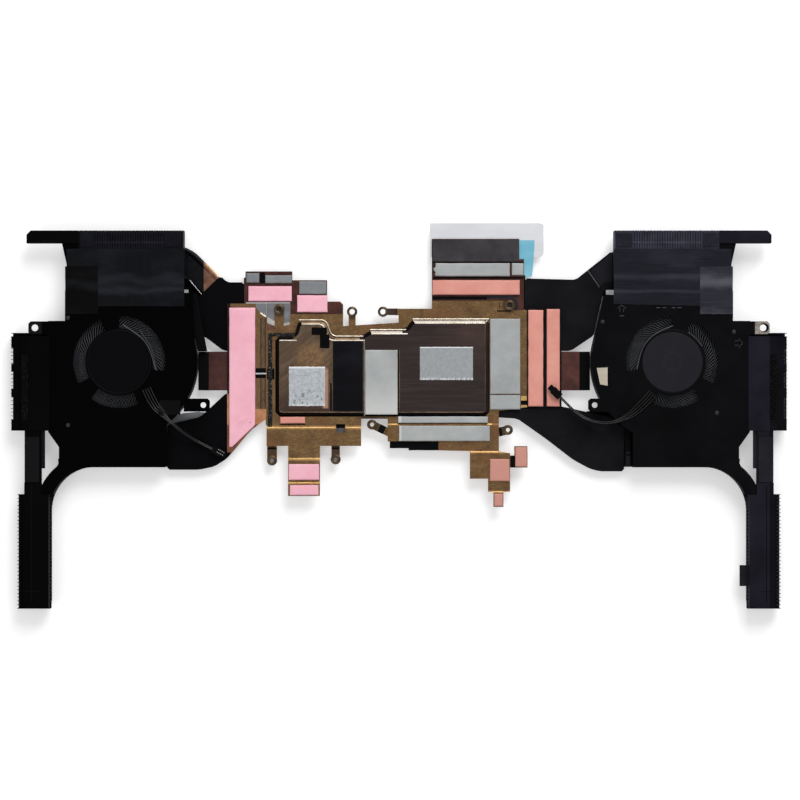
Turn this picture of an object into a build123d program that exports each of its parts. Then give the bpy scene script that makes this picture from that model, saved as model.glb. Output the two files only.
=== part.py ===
"""Laptop cooling module: two blowers, heat pipes, fin stacks and a stamped vapour chamber.

Millimetres, +Z up, with the side that faces the motherboard upwards. The origin is at the middle of
the footprint, on the surface that the two fan covers rest on. X runs along the module, and the rear
fins face +Y. Each wing is drawn on the +X side and mirrored for the left one; u is the distance
outwards from the middle plane.
"""
import os
from math import atan2, cos, degrees, hypot, log, radians, sin, tan

from build123d import *

# Overall reach
fan_u = 117.2  # middle to the hub of the right fan; the places in both wings count from it
left_fan_shift = 2.8  # the hub of the left fan is further out
half_depth = 83.0  # middle to the leg ends and to the rear edge of the release film

# Heights, counted up from the surface under the fan covers
pipe_gap = 1.0
pipe_thickness = 2.2
arm_thickness = 0.6  # chamber flange, arm plates and regulator plates, all soldered on the pipes
arm_cut = 1.0
frame_thickness = 0.6
plateau_rise = 1.2  # chamber plateau over the spring frame
pedestal_rise = 0.4
spreader_thickness = 0.8
fan_height = 9.0
cover_thickness = 0.4
base_thickness = 0.6
rear_fin_rise = 0.6  # rear fins over the fan plate
bar_thickness = 2.2
tape_thickness = 0.2
shroud_thickness = 0.3
film_thickness = 0.15
compound_thickness = 0.12
pad_thickness = 1.1

# Fans
hub_y = 23.0
left_scroll_radius = 33.3
right_scroll_radius = 34.7
wall_thickness = 1.2
sill_height = 0.6  # low bars that tie the wall together across its outlets
plate_reach = 33.2  # hub to the outer edge of the fan plate
shoulder_width = 7.2  # of the outer shoulder, which carries the screw ear
shoulder_y = 40.6  # rear edge of the shoulder
outlet_y = 53.5  # rear edge of the fan plates
throat_turn = 165.0  # degrees round the hub at which the throat leaves the scroll
throat_reach = 28.6  # hub back to the inner end of the throat
front_y = -22.2  # front edge of the fan plate
front_reach = 16.9  # hub back to the inner end of the front edge
cover_front_y = -12.6
window_inset = 4.6  # of the gap between the fan plate and the bar pipe, from the plate's edge
window_y = -7.0
window_depth = 13.0
inlet_radius = 20.5
opening_inner_radius = 14.4  # of the three curved openings in the base plate
opening_outer_radius = 19.8
opening_spans = ((90, 192), (245, 308), (-28, 66))  # degrees on the right fan
label_radius = 12.9
label_thickness = 0.3
outer_ear_reach = 5.7  # plate edge to the screw hole
outer_ear_y = 37.6
outer_ear_hole = 1.45
ear_half_width = 2.8
ear_cut = 1.0  # off the corners of the ears
inner_ear_reach = 33.3  # hub back to the screw hole
inner_ear_y = 4.5
inner_ear_hole = 1.2

# Rotors and motors
impeller_radius = 27.0
impeller_lift = 0.8  # over the cover
impeller_drop = 1.0  # under the base plate
cup_radius = 12.4
cup_wall = 1.0
blade_count = 80
blade_thickness = 0.28
blade_lean = 50.0  # degrees off the radius, all along the blade
blade_bend_radius = 18.0
magnet_wall = 1.2
stator_radius = 9.4
stator_height = 3.2
pole_count = 6
pole_width = 2.2
shoe_depth = 1.0
shoe_gap = 1.8
core_radius = 4.4
bearing_radius = 2.6
shaft_radius = 1.0
shaft_clearance = 0.04
hidden_sides = 12  # round pieces inside the motor are drawn with flat sides

# Fin stacks
fin_pitch = 1.1  # of the rear fins
wide_fin_pitch = 1.6  # of the side and leg fins
fin_thickness = 0.22
fin_foot = 0.3
fold_gap = 0.25  # open line between the folded tops of two rear fins
rear_fin_reach = 24.9  # hub back to the innermost fin
rear_fin_length = 44.9
rear_fin_y = 79.3
rear_fin_depth = 18.9
side_fin_y = 35.5
side_fin_length = 39.0
side_fin_depth = 16.2
leg_lap = 0.6  # of the leg under the edge of the fan plate
leg_width = 14.2
leg_top_y = -33.9

# Heat pipes
upper_pipe_width = 9.0
upper_pipe_bend = 14.0
upper_pipe_start_u = 12.0
upper_pipe_y = 34.0
upper_pipe_turn_u = 57.0
upper_pipe_lead_in = 3.7  # from the innermost fin to the bend
upper_pipe_rear_y = 68.5
lower_pipe_width = 6.0
lower_pipe_bend = 12.0
lower_pipe_start_u = 15.0
lower_pipe_y = 8.0
lower_pipe_turn_u = 52.0
lower_pipe_lead_in = 8.3  # from the bend to the fan's front edge
leg_bend = 18.8  # inside of the bend into the leg
bar_gap = 3.0  # between the fan plate and the bar pipe
bar_width = 7.2
edge_break = 0.6  # flattened pipes have rounded edges, cut here as two slants

# Shrouds, baffle and tapes
side_shroud_rear_y = 34.0
side_shroud_front_y = -6.5
shroud_overhang = 1.4  # of both shrouds past the bar pipe
shroud_lip = 2.0
flange_notches = ((29.1, 22.2), (18.8, 11.6), (8.0, -1.6))  # from and to, along the side fins
notch_depth = 1.6
leg_shroud_rear_y = -28.8
baffle_length = 22.2
baffle_width = 5.4
baffle_height = 4.0
baffle_wall = 0.5
cheek_waist = 4.9
cheek_waist_y = 64.0
cheek_flare = 7.1
tape_lap = 0.3  # of the tape past the innermost fin
tape_overhang = 5.1  # past the outermost fin
tape_rear_y = 71.6
tape_front_y = 46.7
patch_width = 14.0
patch_overhang = 5.6
patch_rear_y = 64.0
patch_front_y = 43.4

# Clearances
fit_gap = 0.2
fan_gap = 0.3  # around a fan
pipe_channel_gap = 0.3

# Fan leads and plugs
lead_diameter = 1.6
lead_sides = 6
lead_lift = 0.1  # over what the lead lies on
arc_share = 0.45  # of the shorter run, used up by each bend
lead_step = 0.9  # down from the plate to the pads
lead_sag = 0.8
plug_length = 4.5
plug_width = 3.2
plug_height = 2.0
nose_length = 1.9
nose_width = 2.4
nose_height = 1.2

# Middle: the chamber and what is on it, as x from, x to, y from, y to
flange_width = 1.2
plateau_slope = 1.6  # width of the sloping wall all round
plateau_cut = 1.8
window_gap = 0.3
cpu_pedestal = (-48.2, -30.3, 2.6, 21.5)
cpu_print = (-47.3, -31.8, 4.1, 21.0)
gpu_print = (9.0, 31.8, 15.3, 29.5)
chamber_tape = (-28.4, -15.7, 1.9, 31.8)
bump_foam = (-37.4, -31.5, 34.8, 37.8)
bump_foam_foot = (-34.0, -30.4, 29.2, 34.8)
gpu_plate_tape = (14.6, 51.6, 66.4, 75.7)
edge_foam = (-3.9, 17.0, -15.0, -11.2)

# Spring frame
frame_left_x = -57.0
frame_right_x = 55.0
cpu_bracket_right_x = -16.3
cpu_bracket_front_y = -13.1
cpu_leg = (-47.7, -34.0, -34.6, -13.0)
cpu_slot = (-27.1, -23.2, -7.3, -3.7)
gpu_bracket_left_x = -4.9
gpu_bracket_right_x = 43.0
gpu_tongue_x = 55.3
cpu_step = 0.9
gpu_step = 0.6
leg_step = 0.6
tail_step = 0.6
tab_radius = 2.2
tab_sides = 20  # of the ring round a screw hole
tab_hole = 1.15
tab_bend_start = 0.12  # share of a tab's run at which it starts to step down
tab_bend_end = 0.22
sheet_lap = 0.4  # of a bracket's sheet into the flat frame that it is one with

# Spreaders and regulator plates
left_spreader_inner_x = -57.2
left_spreader_outer_x = -74.0
left_spreader_rear_y = 48.2
left_spreader_front_y = -15.9
spreader_bevel_rise = 14.4  # of the inner edge's end over the front edge
spreader_bevel_foot = 9.4  # of the bevel's middle over the front edge
spreader_bevel_width = 6.8
spreader_foot_width = 2.2
right_spreader = (55.3, 70.0, 3.4, 46.6)
mid_plate_inner_u = {"left": 57.6, "right": 42.0}
mid_plate_y = (10.8, 27.5)
foam_width = 4.5
gpu_plate = (14.2, 53.8, 45.4, 76.1)
gpu_plate_notch_x = 51.8
gpu_plate_notch_y = 67.4
release_film_box = (13.3, 62.4, 68.2, half_depth)
film_tab_box = (45.0, 58.5, 59.8, 75.7)
film_tab_taper = 1.3

# Levels that follow from the heights
solder_z = pipe_gap + pipe_thickness
frame_z = solder_z + arm_thickness
frame_top = frame_z + frame_thickness
plateau_z = frame_top + plateau_rise
plate_z = fan_height - base_thickness
bar_z = fan_height - bar_thickness
rear_fin_top = fan_height + rear_fin_rise
impeller_z = cover_thickness + impeller_lift
impeller_top = plate_z - impeller_drop

# Places that follow
left_hub_u = fan_u + left_fan_shift
right_hub_u = fan_u
plate_outer_u = fan_u + plate_reach
throat_inner_u = fan_u - throat_reach
throat_outer_u = plate_outer_u - shoulder_width
front_inner_u = fan_u - front_reach
window_u = plate_outer_u - window_inset
outer_ear_u = plate_outer_u + outer_ear_reach
inner_ear_u = fan_u - inner_ear_reach
rear_fin_inner_u = fan_u - rear_fin_reach
rear_fin_outer_u = rear_fin_inner_u + rear_fin_length
bar_inner_u = plate_outer_u + bar_gap
shroud_outer_u = bar_inner_u + bar_width + shroud_overhang
leg_inner_u = plate_outer_u - leg_lap
leg_end_y = -half_depth
leg_outer_u = leg_inner_u + leg_width
bend_centre_u = leg_inner_u - leg_bend
bend_centre_y = front_y - leg_bend
lower_pipe_front_y = front_y + lower_pipe_width / 2
lower_pipe_leg_u = leg_inner_u + lower_pipe_width / 2
side_fin_outer_u = plate_outer_u + fit_gap + side_fin_depth
cheek_inner_u = rear_fin_outer_u + fit_gap
cheek_rear_y = rear_fin_y - baffle_width
rear_fin_front_y = rear_fin_y - rear_fin_depth
tape_inner_u = rear_fin_inner_u - tape_lap
tape_outer_u = cheek_inner_u + tape_overhang
patch_outer_u = cheek_inner_u + patch_overhang
patch_inner_u = patch_outer_u - patch_width
baffle_outer_u = cheek_inner_u + baffle_length

hub_u = {"left": left_hub_u, "right": right_hub_u}
scroll_radius = {"left": left_scroll_radius, "right": right_scroll_radius}
mirrored = {"left": True, "right": False}


def sheet_outline(*points):
    """A flat outline with straight sides, facing up whichever way round its points run."""
    face = Polygon(*points)
    return face if face.face().normal_at().Z > 0 else make_face(Polyline(*points[::-1], close=True))


def prism(sketch, bottom, top):
    """A flat sketch drawn upwards from one level to another."""
    return extrude(Pos(0, 0, bottom) * sketch, amount=top - bottom, dir=(0, 0, 1))


def rectangle(box):
    """The sketch of a rectangle given as x from, x to, y from, y to."""
    x0, x1, y0, y1 = box
    return Pos((x0 + x1) / 2, (y0 + y1) / 2) * Rectangle(abs(x1 - x0), abs(y1 - y0))


def slab(box, bottom, thickness):
    """A rectangular sheet or pad lying on a level."""
    return prism(rectangle(box), bottom, bottom + thickness)


def cut_corners(points, cut):
    """A closed outline with every corner cut off alike."""
    corners = [Vector(*point) for point in points]
    outline = []
    for before, here, after in zip(corners[-1:] + corners, corners, corners[1:] + corners[:1]):
        outline += [here + (before - here).normalized() * cut, here + (after - here).normalized() * cut]
    return sheet_outline(*[(corner.X, corner.Y) for corner in outline])


def along_y(section, rear_y, front_y):
    """A section drawn as (u, z) and run from one y to another."""
    face = Pos(0, front_y, 0) * (Plane.XZ * Polygon(*section))
    return extrude(face, amount=rear_y - front_y, dir=(0, 1, 0))


def along_x(section, start_x, end_x):
    """A section drawn as (y, z) and run from one x to another."""
    face = Pos(start_x, 0, 0) * (Plane.YZ * Polygon(*section))
    return extrude(face, amount=end_x - start_x, dir=(1, 0, 0))


def flat_bar(points, radii, width, bottom, top, slant=0.0):
    """A flat bar along straight runs and arcs, each side of it slanting from the middle to both faces."""
    middle = (bottom + top) / 2
    path = FilletPolyline(*[(x, y, middle) for x, y in points], radius=radii)
    section = Rectangle(top - bottom, width)
    if slant:
        half, flat = (top - bottom) / 2, width / 2 - slant
        right = [(half, flat), (0, width / 2), (-half, flat)]
        section = sheet_outline(*right, *[(x, -y) for x, y in right[::-1]])
    start = Plane(origin=path @ 0, x_dir=(0, 0, 1), z_dir=path % 0)
    return sweep(start * section, path=path)


def fin_stack(length, depth, height, pitch, folded=False):
    """Thin upright fins on a common foot, side by side along X, open towards -Y and +Y.

    A folded fin has its top edge bent over towards the next one, which closes the stack but for a line.
    """
    spaces = round((length - fin_thickness) / pitch)
    step = (length - fin_thickness) / spaces
    outline = [(length, 0), (0, 0)]
    for fin in range(spaces + 1):
        x = fin * step
        if fin:
            outline.append((x, fin_foot))
        outline.append((x, height))
        if folded and fin < spaces:
            fold = x + step - fold_gap
            under = height - fin_thickness
            outline += [(fold, height), (fold, under), (x + fin_thickness, under)]
        else:
            outline.append((x + fin_thickness, height))
        if fin < spaces:
            outline.append((x + fin_thickness, fin_foot))
    return extrude(Plane.XZ * Polygon(*outline), amount=depth, dir=(0, 1, 0))


def fan_footprint(side, grow=0.0):
    """The outline that the fan's sheets and wall share: scroll, throat, shoulder and front shelf."""
    u, radius = hub_u[side], scroll_radius[side] + grow
    turn = radians(throat_turn)
    shelf_y = window_y - window_depth
    body = sheet_outline(
        (u + radius * cos(turn), hub_y + radius * sin(turn)),
        (throat_inner_u - grow, outlet_y + grow),
        (throat_outer_u + grow, outlet_y + grow),
        (throat_outer_u + grow, shoulder_y + grow),
        (plate_outer_u + grow, shoulder_y + grow),
        (plate_outer_u + grow, window_y),
        (window_u + grow, window_y - window_depth / 2),
        (window_u + grow, shelf_y),
        ((window_u + bend_centre_u) / 2, front_y),
        (front_inner_u - grow, front_y),
        (front_inner_u - grow, hub_y),
    )
    reach = rectangle((u - radius, throat_outer_u + grow, hub_y - radius, outlet_y + grow))
    return ((Pos(u, hub_y) * Circle(radius)) & reach) + body


def neck():
    """The narrow bridge over the pipe's bend, from the front shelf down to the leg."""
    ring = Circle(leg_bend + lower_pipe_width) - Circle(leg_bend)
    outer_u = bar_inner_u - fit_gap
    reach = rectangle((bend_centre_u, outer_u, leg_top_y + fan_gap, front_y + lower_pipe_width))
    return (Pos(bend_centre_u, bend_centre_y) * ring) & reach


def cheek():
    """The outer wall of the rear duct, which flares beside the fins."""
    return sheet_outline(
        (cheek_inner_u, outlet_y - wall_thickness),
        (throat_outer_u, outlet_y - wall_thickness),
        (cheek_inner_u + cheek_waist, cheek_waist_y),
        (cheek_inner_u + cheek_flare, cheek_rear_y),
        (cheek_inner_u, cheek_rear_y),
    )


def lower_pipe_points():
    return [
        (lower_pipe_start_u, lower_pipe_y),
        (lower_pipe_turn_u, lower_pipe_y),
        (front_inner_u - lower_pipe_lead_in, lower_pipe_front_y),
        (lower_pipe_leg_u, lower_pipe_front_y),
        (lower_pipe_leg_u, leg_end_y + lower_pipe_width / 2),
    ]


def lower_pipe_radii():
    return [lower_pipe_bend, lower_pipe_bend, leg_bend + lower_pipe_width / 2]


def fan_wall(side):
    """The moulded scroll: solid but for the air way, its two outlets and the channel of the pipe."""
    u = hub_u[side]
    inner = scroll_radius[side] - wall_thickness
    turn = radians(throat_turn)
    swept = Pos(u, hub_y) * Circle(impeller_radius + 2 * wall_thickness)
    half = rectangle((u - inner, u, hub_y - inner, hub_y + inner))
    scroll = (Pos(u, hub_y) * Circle(inner)) & half
    throat = sheet_outline(
        (u + inner * cos(turn), hub_y + inner * sin(turn)),
        (throat_inner_u + wall_thickness, outlet_y + wall_thickness),
        (cheek_inner_u, outlet_y + wall_thickness),
        (cheek_inner_u, hub_y),
    )
    side_front_y = side_fin_y - side_fin_length
    side_outlet = rectangle(
        (u, plate_outer_u + wall_thickness, side_front_y + wall_thickness, side_fin_y - wall_thickness)
    )
    air = swept + scroll + throat + side_outlet
    solid = prism(fan_footprint(side) + neck() + cheek() - air, cover_thickness, plate_z)
    rear_sill = rectangle((throat_inner_u, throat_outer_u, outlet_y - wall_thickness, outlet_y))
    side_sill = rectangle((plate_outer_u - wall_thickness, plate_outer_u, side_front_y, side_fin_y))
    solid += prism(rear_sill, cover_thickness, cover_thickness + sill_height)
    solid += prism(side_sill, cover_thickness, cover_thickness + sill_height)
    channel = flat_bar(
        lower_pipe_points(),
        lower_pipe_radii(),
        lower_pipe_width + 2 * pipe_channel_gap,
        0,
        solder_z + pipe_channel_gap,
    )
    return solid - channel


def inlet_opening(side, start, end):
    """One curved opening round the hub between two turns, with straight ends along the radius."""
    ring = Circle(opening_outer_radius) - Circle(opening_inner_radius)
    reach = 2 * opening_outer_radius
    middle = (start + end) / 2
    wedge = [(0, 0)]
    for turn in (start, middle, end):
        wedge.append((reach * cos(radians(turn)), reach * sin(radians(turn))))
    return Pos(hub_u[side], hub_y) * (ring & sheet_outline(*wedge))


def ear(centre_u, centre_y, root_u, hole):
    """A screw ear on the fan plate with cut corners, as the solid outline and its hole."""
    half = ear_half_width if centre_u > root_u else -ear_half_width
    cut = ear_cut if centre_u > root_u else -ear_cut
    outline = sheet_outline(
        (root_u, centre_y - ear_half_width),
        (centre_u + half - cut, centre_y - ear_half_width),
        (centre_u + half, centre_y - ear_half_width + ear_cut),
        (centre_u + half, centre_y + ear_half_width - ear_cut),
        (centre_u + half - cut, centre_y + ear_half_width),
        (root_u, centre_y + ear_half_width),
    )
    return outline, Pos(centre_u, centre_y) * Circle(hole)


def fan_base_plate(side):
    outer_ear, outer_hole = ear(outer_ear_u, outer_ear_y, plate_outer_u - ear_half_width, outer_ear_hole)
    inner_ear, inner_hole = ear(inner_ear_u, inner_ear_y, inner_ear_u + 3 * ear_half_width, inner_ear_hole)
    sheet = fan_footprint(side) + neck() + cheek() + outer_ear + inner_ear
    for start, end in opening_spans:
        sheet -= inlet_opening(side, start, end)
    return prism(sheet - outer_hole - inner_hole, plate_z, fan_height)


def fan_cover(side):
    u = hub_u[side]
    reach = rectangle((0, plate_outer_u, cover_front_y, outlet_y))
    sheet = (fan_footprint(side) & reach) - Pos(u, hub_y) * Circle(inlet_radius)
    return prism(sheet, 0, cover_thickness)


def blade():
    """One swept blade of two flat runs on a spiral that keeps its angle to the radius."""
    slope = tan(radians(blade_lean))
    root_radius = cup_radius - cup_wall / 2
    trailing, leading = [], []
    for radius in (root_radius, blade_bend_radius, impeller_radius):
        turn = slope * log(radius / root_radius)
        half = blade_thickness / 2 / cos(radians(blade_lean)) / radius
        trailing.append((radius * cos(turn - half), radius * sin(turn - half)))
        leading.append((radius * cos(turn + half), radius * sin(turn + half)))
    return sheet_outline(*trailing, *leading[::-1])


def impeller(side):
    """A hub cup, open towards the base plate, with the swept blades on its rim."""
    rim = RegularPolygon(cup_radius, blade_count) - RegularPolygon(cup_radius - cup_wall, blade_count)
    bladed = rim + [place * blade() for place in PolarLocations(0, blade_count)]
    cap = prism(RegularPolygon(cup_radius, blade_count), impeller_z, impeller_z + cup_wall)
    blades = prism(bladed, impeller_z + cup_wall / 2, impeller_top)
    return Pos(hub_u[side], hub_y) * (cap + blades)


def rotor_magnet(side):
    outer = cup_radius - cup_wall - fit_gap
    ring = RegularPolygon(outer, hidden_sides) - RegularPolygon(outer - magnet_wall, hidden_sides)
    return Pos(hub_u[side], hub_y) * prism(ring, impeller_z + cup_wall, impeller_top - cup_wall / 2)


def shaft(side):
    top = plate_z - base_thickness
    return Pos(hub_u[side], hub_y) * prism(Circle(shaft_radius), impeller_z + cup_wall, top)


def bearing(side):
    ring = RegularPolygon(bearing_radius, hidden_sides) - Circle(shaft_radius + shaft_clearance)
    return Pos(hub_u[side], hub_y) * prism(ring, impeller_z + 2 * cup_wall, plate_z)


def stator(side):
    """A laminated core on the bearing with wound poles and curved shoes."""
    shoe_inner = stator_radius - shoe_depth
    core = RegularPolygon(core_radius, hidden_sides)
    gaps = []
    pole = Pos((core_radius + shoe_inner) / 2) * Rectangle(stator_radius - core_radius, pole_width)
    for place in PolarLocations(0, pole_count):
        core += place * pole
    for place in PolarLocations(0, pole_count, start_angle=180 / pole_count):
        gaps.append(place * Pos(stator_radius) * Rectangle(2 * pole_width, shoe_gap))
    shoes = RegularPolygon(stator_radius, hidden_sides) - RegularPolygon(shoe_inner, hidden_sides) - gaps
    ring = core + shoes - RegularPolygon(bearing_radius, hidden_sides)
    middle = (impeller_z + 2 * cup_wall + plate_z) / 2
    return Pos(hub_u[side], hub_y) * prism(ring, middle - stator_height / 2, middle + stator_height / 2)


def hub_label(side):
    return Pos(hub_u[side], hub_y) * prism(Circle(label_radius), fan_height, fan_height + label_thickness)


def upper_pipe():
    points = [
        (upper_pipe_start_u, upper_pipe_y),
        (upper_pipe_turn_u, upper_pipe_y),
        (rear_fin_inner_u + upper_pipe_lead_in, upper_pipe_rear_y),
        (rear_fin_outer_u - fin_pitch, upper_pipe_rear_y),
    ]
    return flat_bar(points, upper_pipe_bend, upper_pipe_width, pipe_gap, solder_z, edge_break)


def lower_pipe():
    return flat_bar(
        lower_pipe_points(), lower_pipe_radii(), lower_pipe_width, pipe_gap, solder_z, edge_break
    )


def bar_pipe():
    outer = bar_inner_u + bar_width
    section = [
        (bar_inner_u, bar_z),
        (bar_inner_u, fan_height - edge_break),
        (bar_inner_u + edge_break, fan_height),
        (outer - edge_break, fan_height),
        (outer, fan_height - edge_break),
        (outer, bar_z),
    ]
    return along_y(section, side_shroud_rear_y - fin_pitch, leg_end_y + 2 * fin_pitch)


def rear_fins():
    stack = fin_stack(rear_fin_length, rear_fin_depth, rear_fin_top - solder_z, fin_pitch, folded=True)
    return Pos(rear_fin_inner_u, rear_fin_front_y, solder_z) * stack


def side_fins():
    stack = fin_stack(side_fin_length, side_fin_depth, bar_z - pipe_gap, wide_fin_pitch)
    return Pos(side_fin_outer_u, side_fin_y - side_fin_length, pipe_gap) * Rot(0, 0, 90) * stack


def leg_fins():
    stack = fin_stack(leg_top_y - leg_end_y, leg_width, bar_z - solder_z, wide_fin_pitch)
    return Pos(leg_outer_u, leg_end_y, solder_z) * Rot(0, 0, 90) * stack


def side_shroud():
    """A bent sheet over the fan's edge, the bar pipe and the fins, with a notched flange on the fins."""
    top = fan_height + shroud_thickness
    inside = shroud_outer_u - shroud_thickness
    low = fan_height - shroud_lip
    flange_outer_u = side_fin_outer_u - fin_foot
    section = [
        (plate_outer_u - 2 * fan_gap, fan_height),
        (plate_outer_u - 2 * fan_gap, top),
        (shroud_outer_u, top),
        (shroud_outer_u, low + shroud_thickness),
        (flange_outer_u, low + shroud_thickness),
        (flange_outer_u, low),
        (inside, low),
        (inside, fan_height),
    ]
    sheet = along_y(section, side_shroud_rear_y, side_shroud_front_y)
    for rear_y, front_y in flange_notches:
        notch = (flange_outer_u - notch_depth, side_fin_outer_u, front_y, rear_y)
        sheet -= slab(notch, low - shroud_thickness, 3 * shroud_thickness)
    return sheet


def leg_shroud():
    """A hat section over the bar pipe with a low outer flange, and a tongue over the bend."""
    top = fan_height + shroud_thickness
    inner = leg_inner_u + fin_foot
    shoulder = bar_inner_u + bar_width + 2 * shroud_thickness
    flange = fan_height - shroud_lip / 2
    section = [
        (inner, fan_height - shroud_lip),
        (inner, top),
        (shoulder, top),
        (shoulder, flange),
        (shroud_outer_u, flange),
        (shroud_outer_u, flange - shroud_thickness),
        (shoulder - shroud_thickness, flange - shroud_thickness),
        (shoulder - shroud_thickness, fan_height),
        (inner + shroud_thickness, fan_height),
        (inner + shroud_thickness, fan_height - shroud_lip),
    ]
    hat = along_y(section, leg_top_y, leg_end_y + fin_foot)
    tongue = (bar_inner_u, bar_inner_u + bar_width, leg_top_y - fin_pitch, leg_shroud_rear_y)
    return hat + slab(tongue, fan_height, shroud_thickness)


def end_baffle():
    """A channel, open downwards, that carries the rear face on past the fins to a blunt tip."""
    tip = baffle_width / 3
    outline = [
        (cheek_inner_u, cheek_rear_y),
        (cheek_inner_u, rear_fin_y),
        (baffle_outer_u - tip, rear_fin_y),
        (baffle_outer_u, rear_fin_y - tip),
        (baffle_outer_u, cheek_rear_y),
    ]
    block = prism(sheet_outline(*outline), rear_fin_top - baffle_height, rear_fin_top)
    underside = block.faces().sort_by(Axis.Z)[0]
    return offset(block, amount=-baffle_wall, openings=underside)


def duct_tapes():
    """The tape from the rear fins down onto the fan plate, and the patch over its outer end."""

    def bent(rear_y, front_y, lift):
        low, high = fan_height + lift, rear_fin_top + lift
        section = [(rear_y, high), (rear_fin_front_y, high), (outlet_y, low), (front_y, low)]
        upper = [(y, z + tape_thickness) for y, z in section[::-1]]
        return section + upper

    tape = along_x(bent(tape_rear_y, tape_front_y, 0), tape_inner_u, tape_outer_u)
    patch = along_x(bent(patch_rear_y, patch_front_y, tape_thickness), patch_inner_u, patch_outer_u)
    return [tape, patch]


def arm_plate(side, points):
    """A flat arm between the chamber and a fan, cut back to clear the fan."""
    outline = cut_corners(points, arm_cut) - fan_footprint(side, fan_gap)
    return prism(outline, solder_z, frame_z)


upper_arm_points = {
    "left": [
        (66.7, 27.8),
        (66.7, 57.4),
        (74.0, 57.4),
        (left_hub_u - 43.0, 60.2),
        (left_hub_u - 31.0, 48.6),
        (left_hub_u - 31.0, 36.5),
        (left_hub_u - 36.9, 33.5),
        (left_hub_u - 44.5, 27.8),
    ],
    "right": [
        (54.2, 27.8),
        (54.2, 59.1),
        (right_hub_u - 41.1, 58.5),
        (right_hub_u - 25.3, 71.0),
        (right_hub_u - 25.3, 52.0),
        (right_hub_u - 33.2, 34.5),
        (right_hub_u - 43.2, 27.8),
    ],
}
lower_arm_points = {
    "left": [
        (60.0, 9.7),
        (left_hub_u - 45.6, 9.7),
        (left_hub_u - 34.4, -0.6),
        (left_hub_u - 20.1, -4.0),
        (left_hub_u - 20.1, -23.4),
        (left_hub_u - 34.0, -23.4),
        (left_hub_u - 40.5, -22.0),
        (left_hub_u - 45.8, -18.6),
        (66.0, -8.8),
        (60.0, -2.5),
    ],
    "right": [
        (42.1, 1.9),
        (69.2, 4.1),
        (right_hub_u - 20.2, -2.0),
        (right_hub_u - 20.2, -24.1),
        (right_hub_u - 30.8, -24.1),
        (right_hub_u - 35.1, -22.9),
        (right_hub_u - 42.0, -19.2),
        (62.8, -9.7),
        (51.0, -1.4),
        (42.1, -0.8),
    ],
}

# Lead routes as distance back from the hub, y and height, from the hub to the plug
plate_level = fan_height + lead_lift + lead_diameter / 2
arm_level = frame_z + plug_height / 2
pad_level = frame_top + pad_thickness + plug_height / 2
lead_routes = {
    "left": [
        (11.8, 11.6, plate_level),
        (14.2, 5.8, plate_level),
        (18.5, 0.6, plate_level),
        (25.0, -5.4, plate_level),
        (32.7, -11.0, arm_level),
        (39.6, -14.4, arm_level),
    ],
    "right": [
        (8.4, 9.6, plate_level),
        (13.6, 3.7, plate_level),
        (20.0, -1.1, plate_level),
        (27.3, -3.4, plate_level),
        (35.1, -2.4, pad_level + lead_step),
        (41.5, 1.5, pad_level - lead_sag),
        (45.8, 5.8, pad_level),
        (48.0, 8.0, pad_level),
    ],
}


def lead_radii(route):
    """The radius of each bend: a share of the shorter run over the tangent of half the turn."""
    points = [Vector(*point) for point in route]
    radii = []
    for before, here, after in zip(points, points[1:], points[2:]):
        turn = radians((here - before).get_angle(after - here))
        shorter = min((here - before).length, (after - here).length)
        radii.append(arc_share * shorter / tan(turn / 2))
    return radii


def lead_points(side):
    return [(hub_u[side] - back, y, z) for back, y, z in lead_routes[side]]


def fan_lead(side):
    """The four wires of a lead as one bar with flat sides."""
    route = lead_points(side)
    radii = lead_radii(route)
    path = FilletPolyline(*route, radius=radii)
    print(side, "lead: length", round(path.length, 1), "radii", [round(radius, 1) for radius in radii])
    section = RegularPolygon(lead_diameter / 2, lead_sides)
    return sweep(Plane(origin=path @ 0, z_dir=path % 0) * section, path=path)


def fan_plug(side):
    """A flat plug in line with the end of its lead, with a step at the mating end."""
    (x0, y0, _), (x1, y1, z1) = lead_points(side)[-2:]
    heading = degrees(atan2(y1 - y0, x1 - x0))
    from_end = (Align.MIN, Align.CENTER, Align.CENTER)
    body = Box(plug_length, plug_width, plug_height, align=from_end)
    nose = Pos(plug_length) * Box(nose_length, nose_width, nose_height, align=from_end)
    return Pos(x1, y1, z1) * Rot(0, 0, heading) * (body + nose)


def plateau_outline():
    """The raised part of the chamber: a processor side with a bump, a waist and a graphics side."""
    points = [
        (-53.0, -0.2),
        (-53.0, 33.9),
        (-45.2, 33.9),
        (-43.0, 40.9),
        (-31.4, 40.9),
        (-29.0, 33.9),
        (-15.4, 33.9),
        (-12.4, 36.7),
        (2.9, 36.7),
        (5.9, 41.3),
        (38.7, 41.3),
        (38.7, -0.2),
    ]
    return cut_corners(points, plateau_cut)


def vapour_chamber():
    plateau = prism(plateau_outline(), frame_z, plateau_z)
    rim = plateau.faces().sort_by(Axis.Z)[-1].edges()
    plateau = chamfer(rim, plateau_slope)
    flange = prism(offset(plateau_outline(), flange_width, kind=Kind.INTERSECTION), solder_z, frame_z)
    return flange + plateau + slab(cpu_pedestal, plateau_z, pedestal_rise)


def stepped_sheet(start_x, end_x, steps):
    """A sheet that rises in steps along -Y, as (y, height of the underside over the frame)."""
    under = [(y, frame_z + rise) for y, rise in steps]
    over = [(y, z + frame_thickness) for y, z in under[::-1]]
    return along_x(under + over, start_x, end_x)


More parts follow.
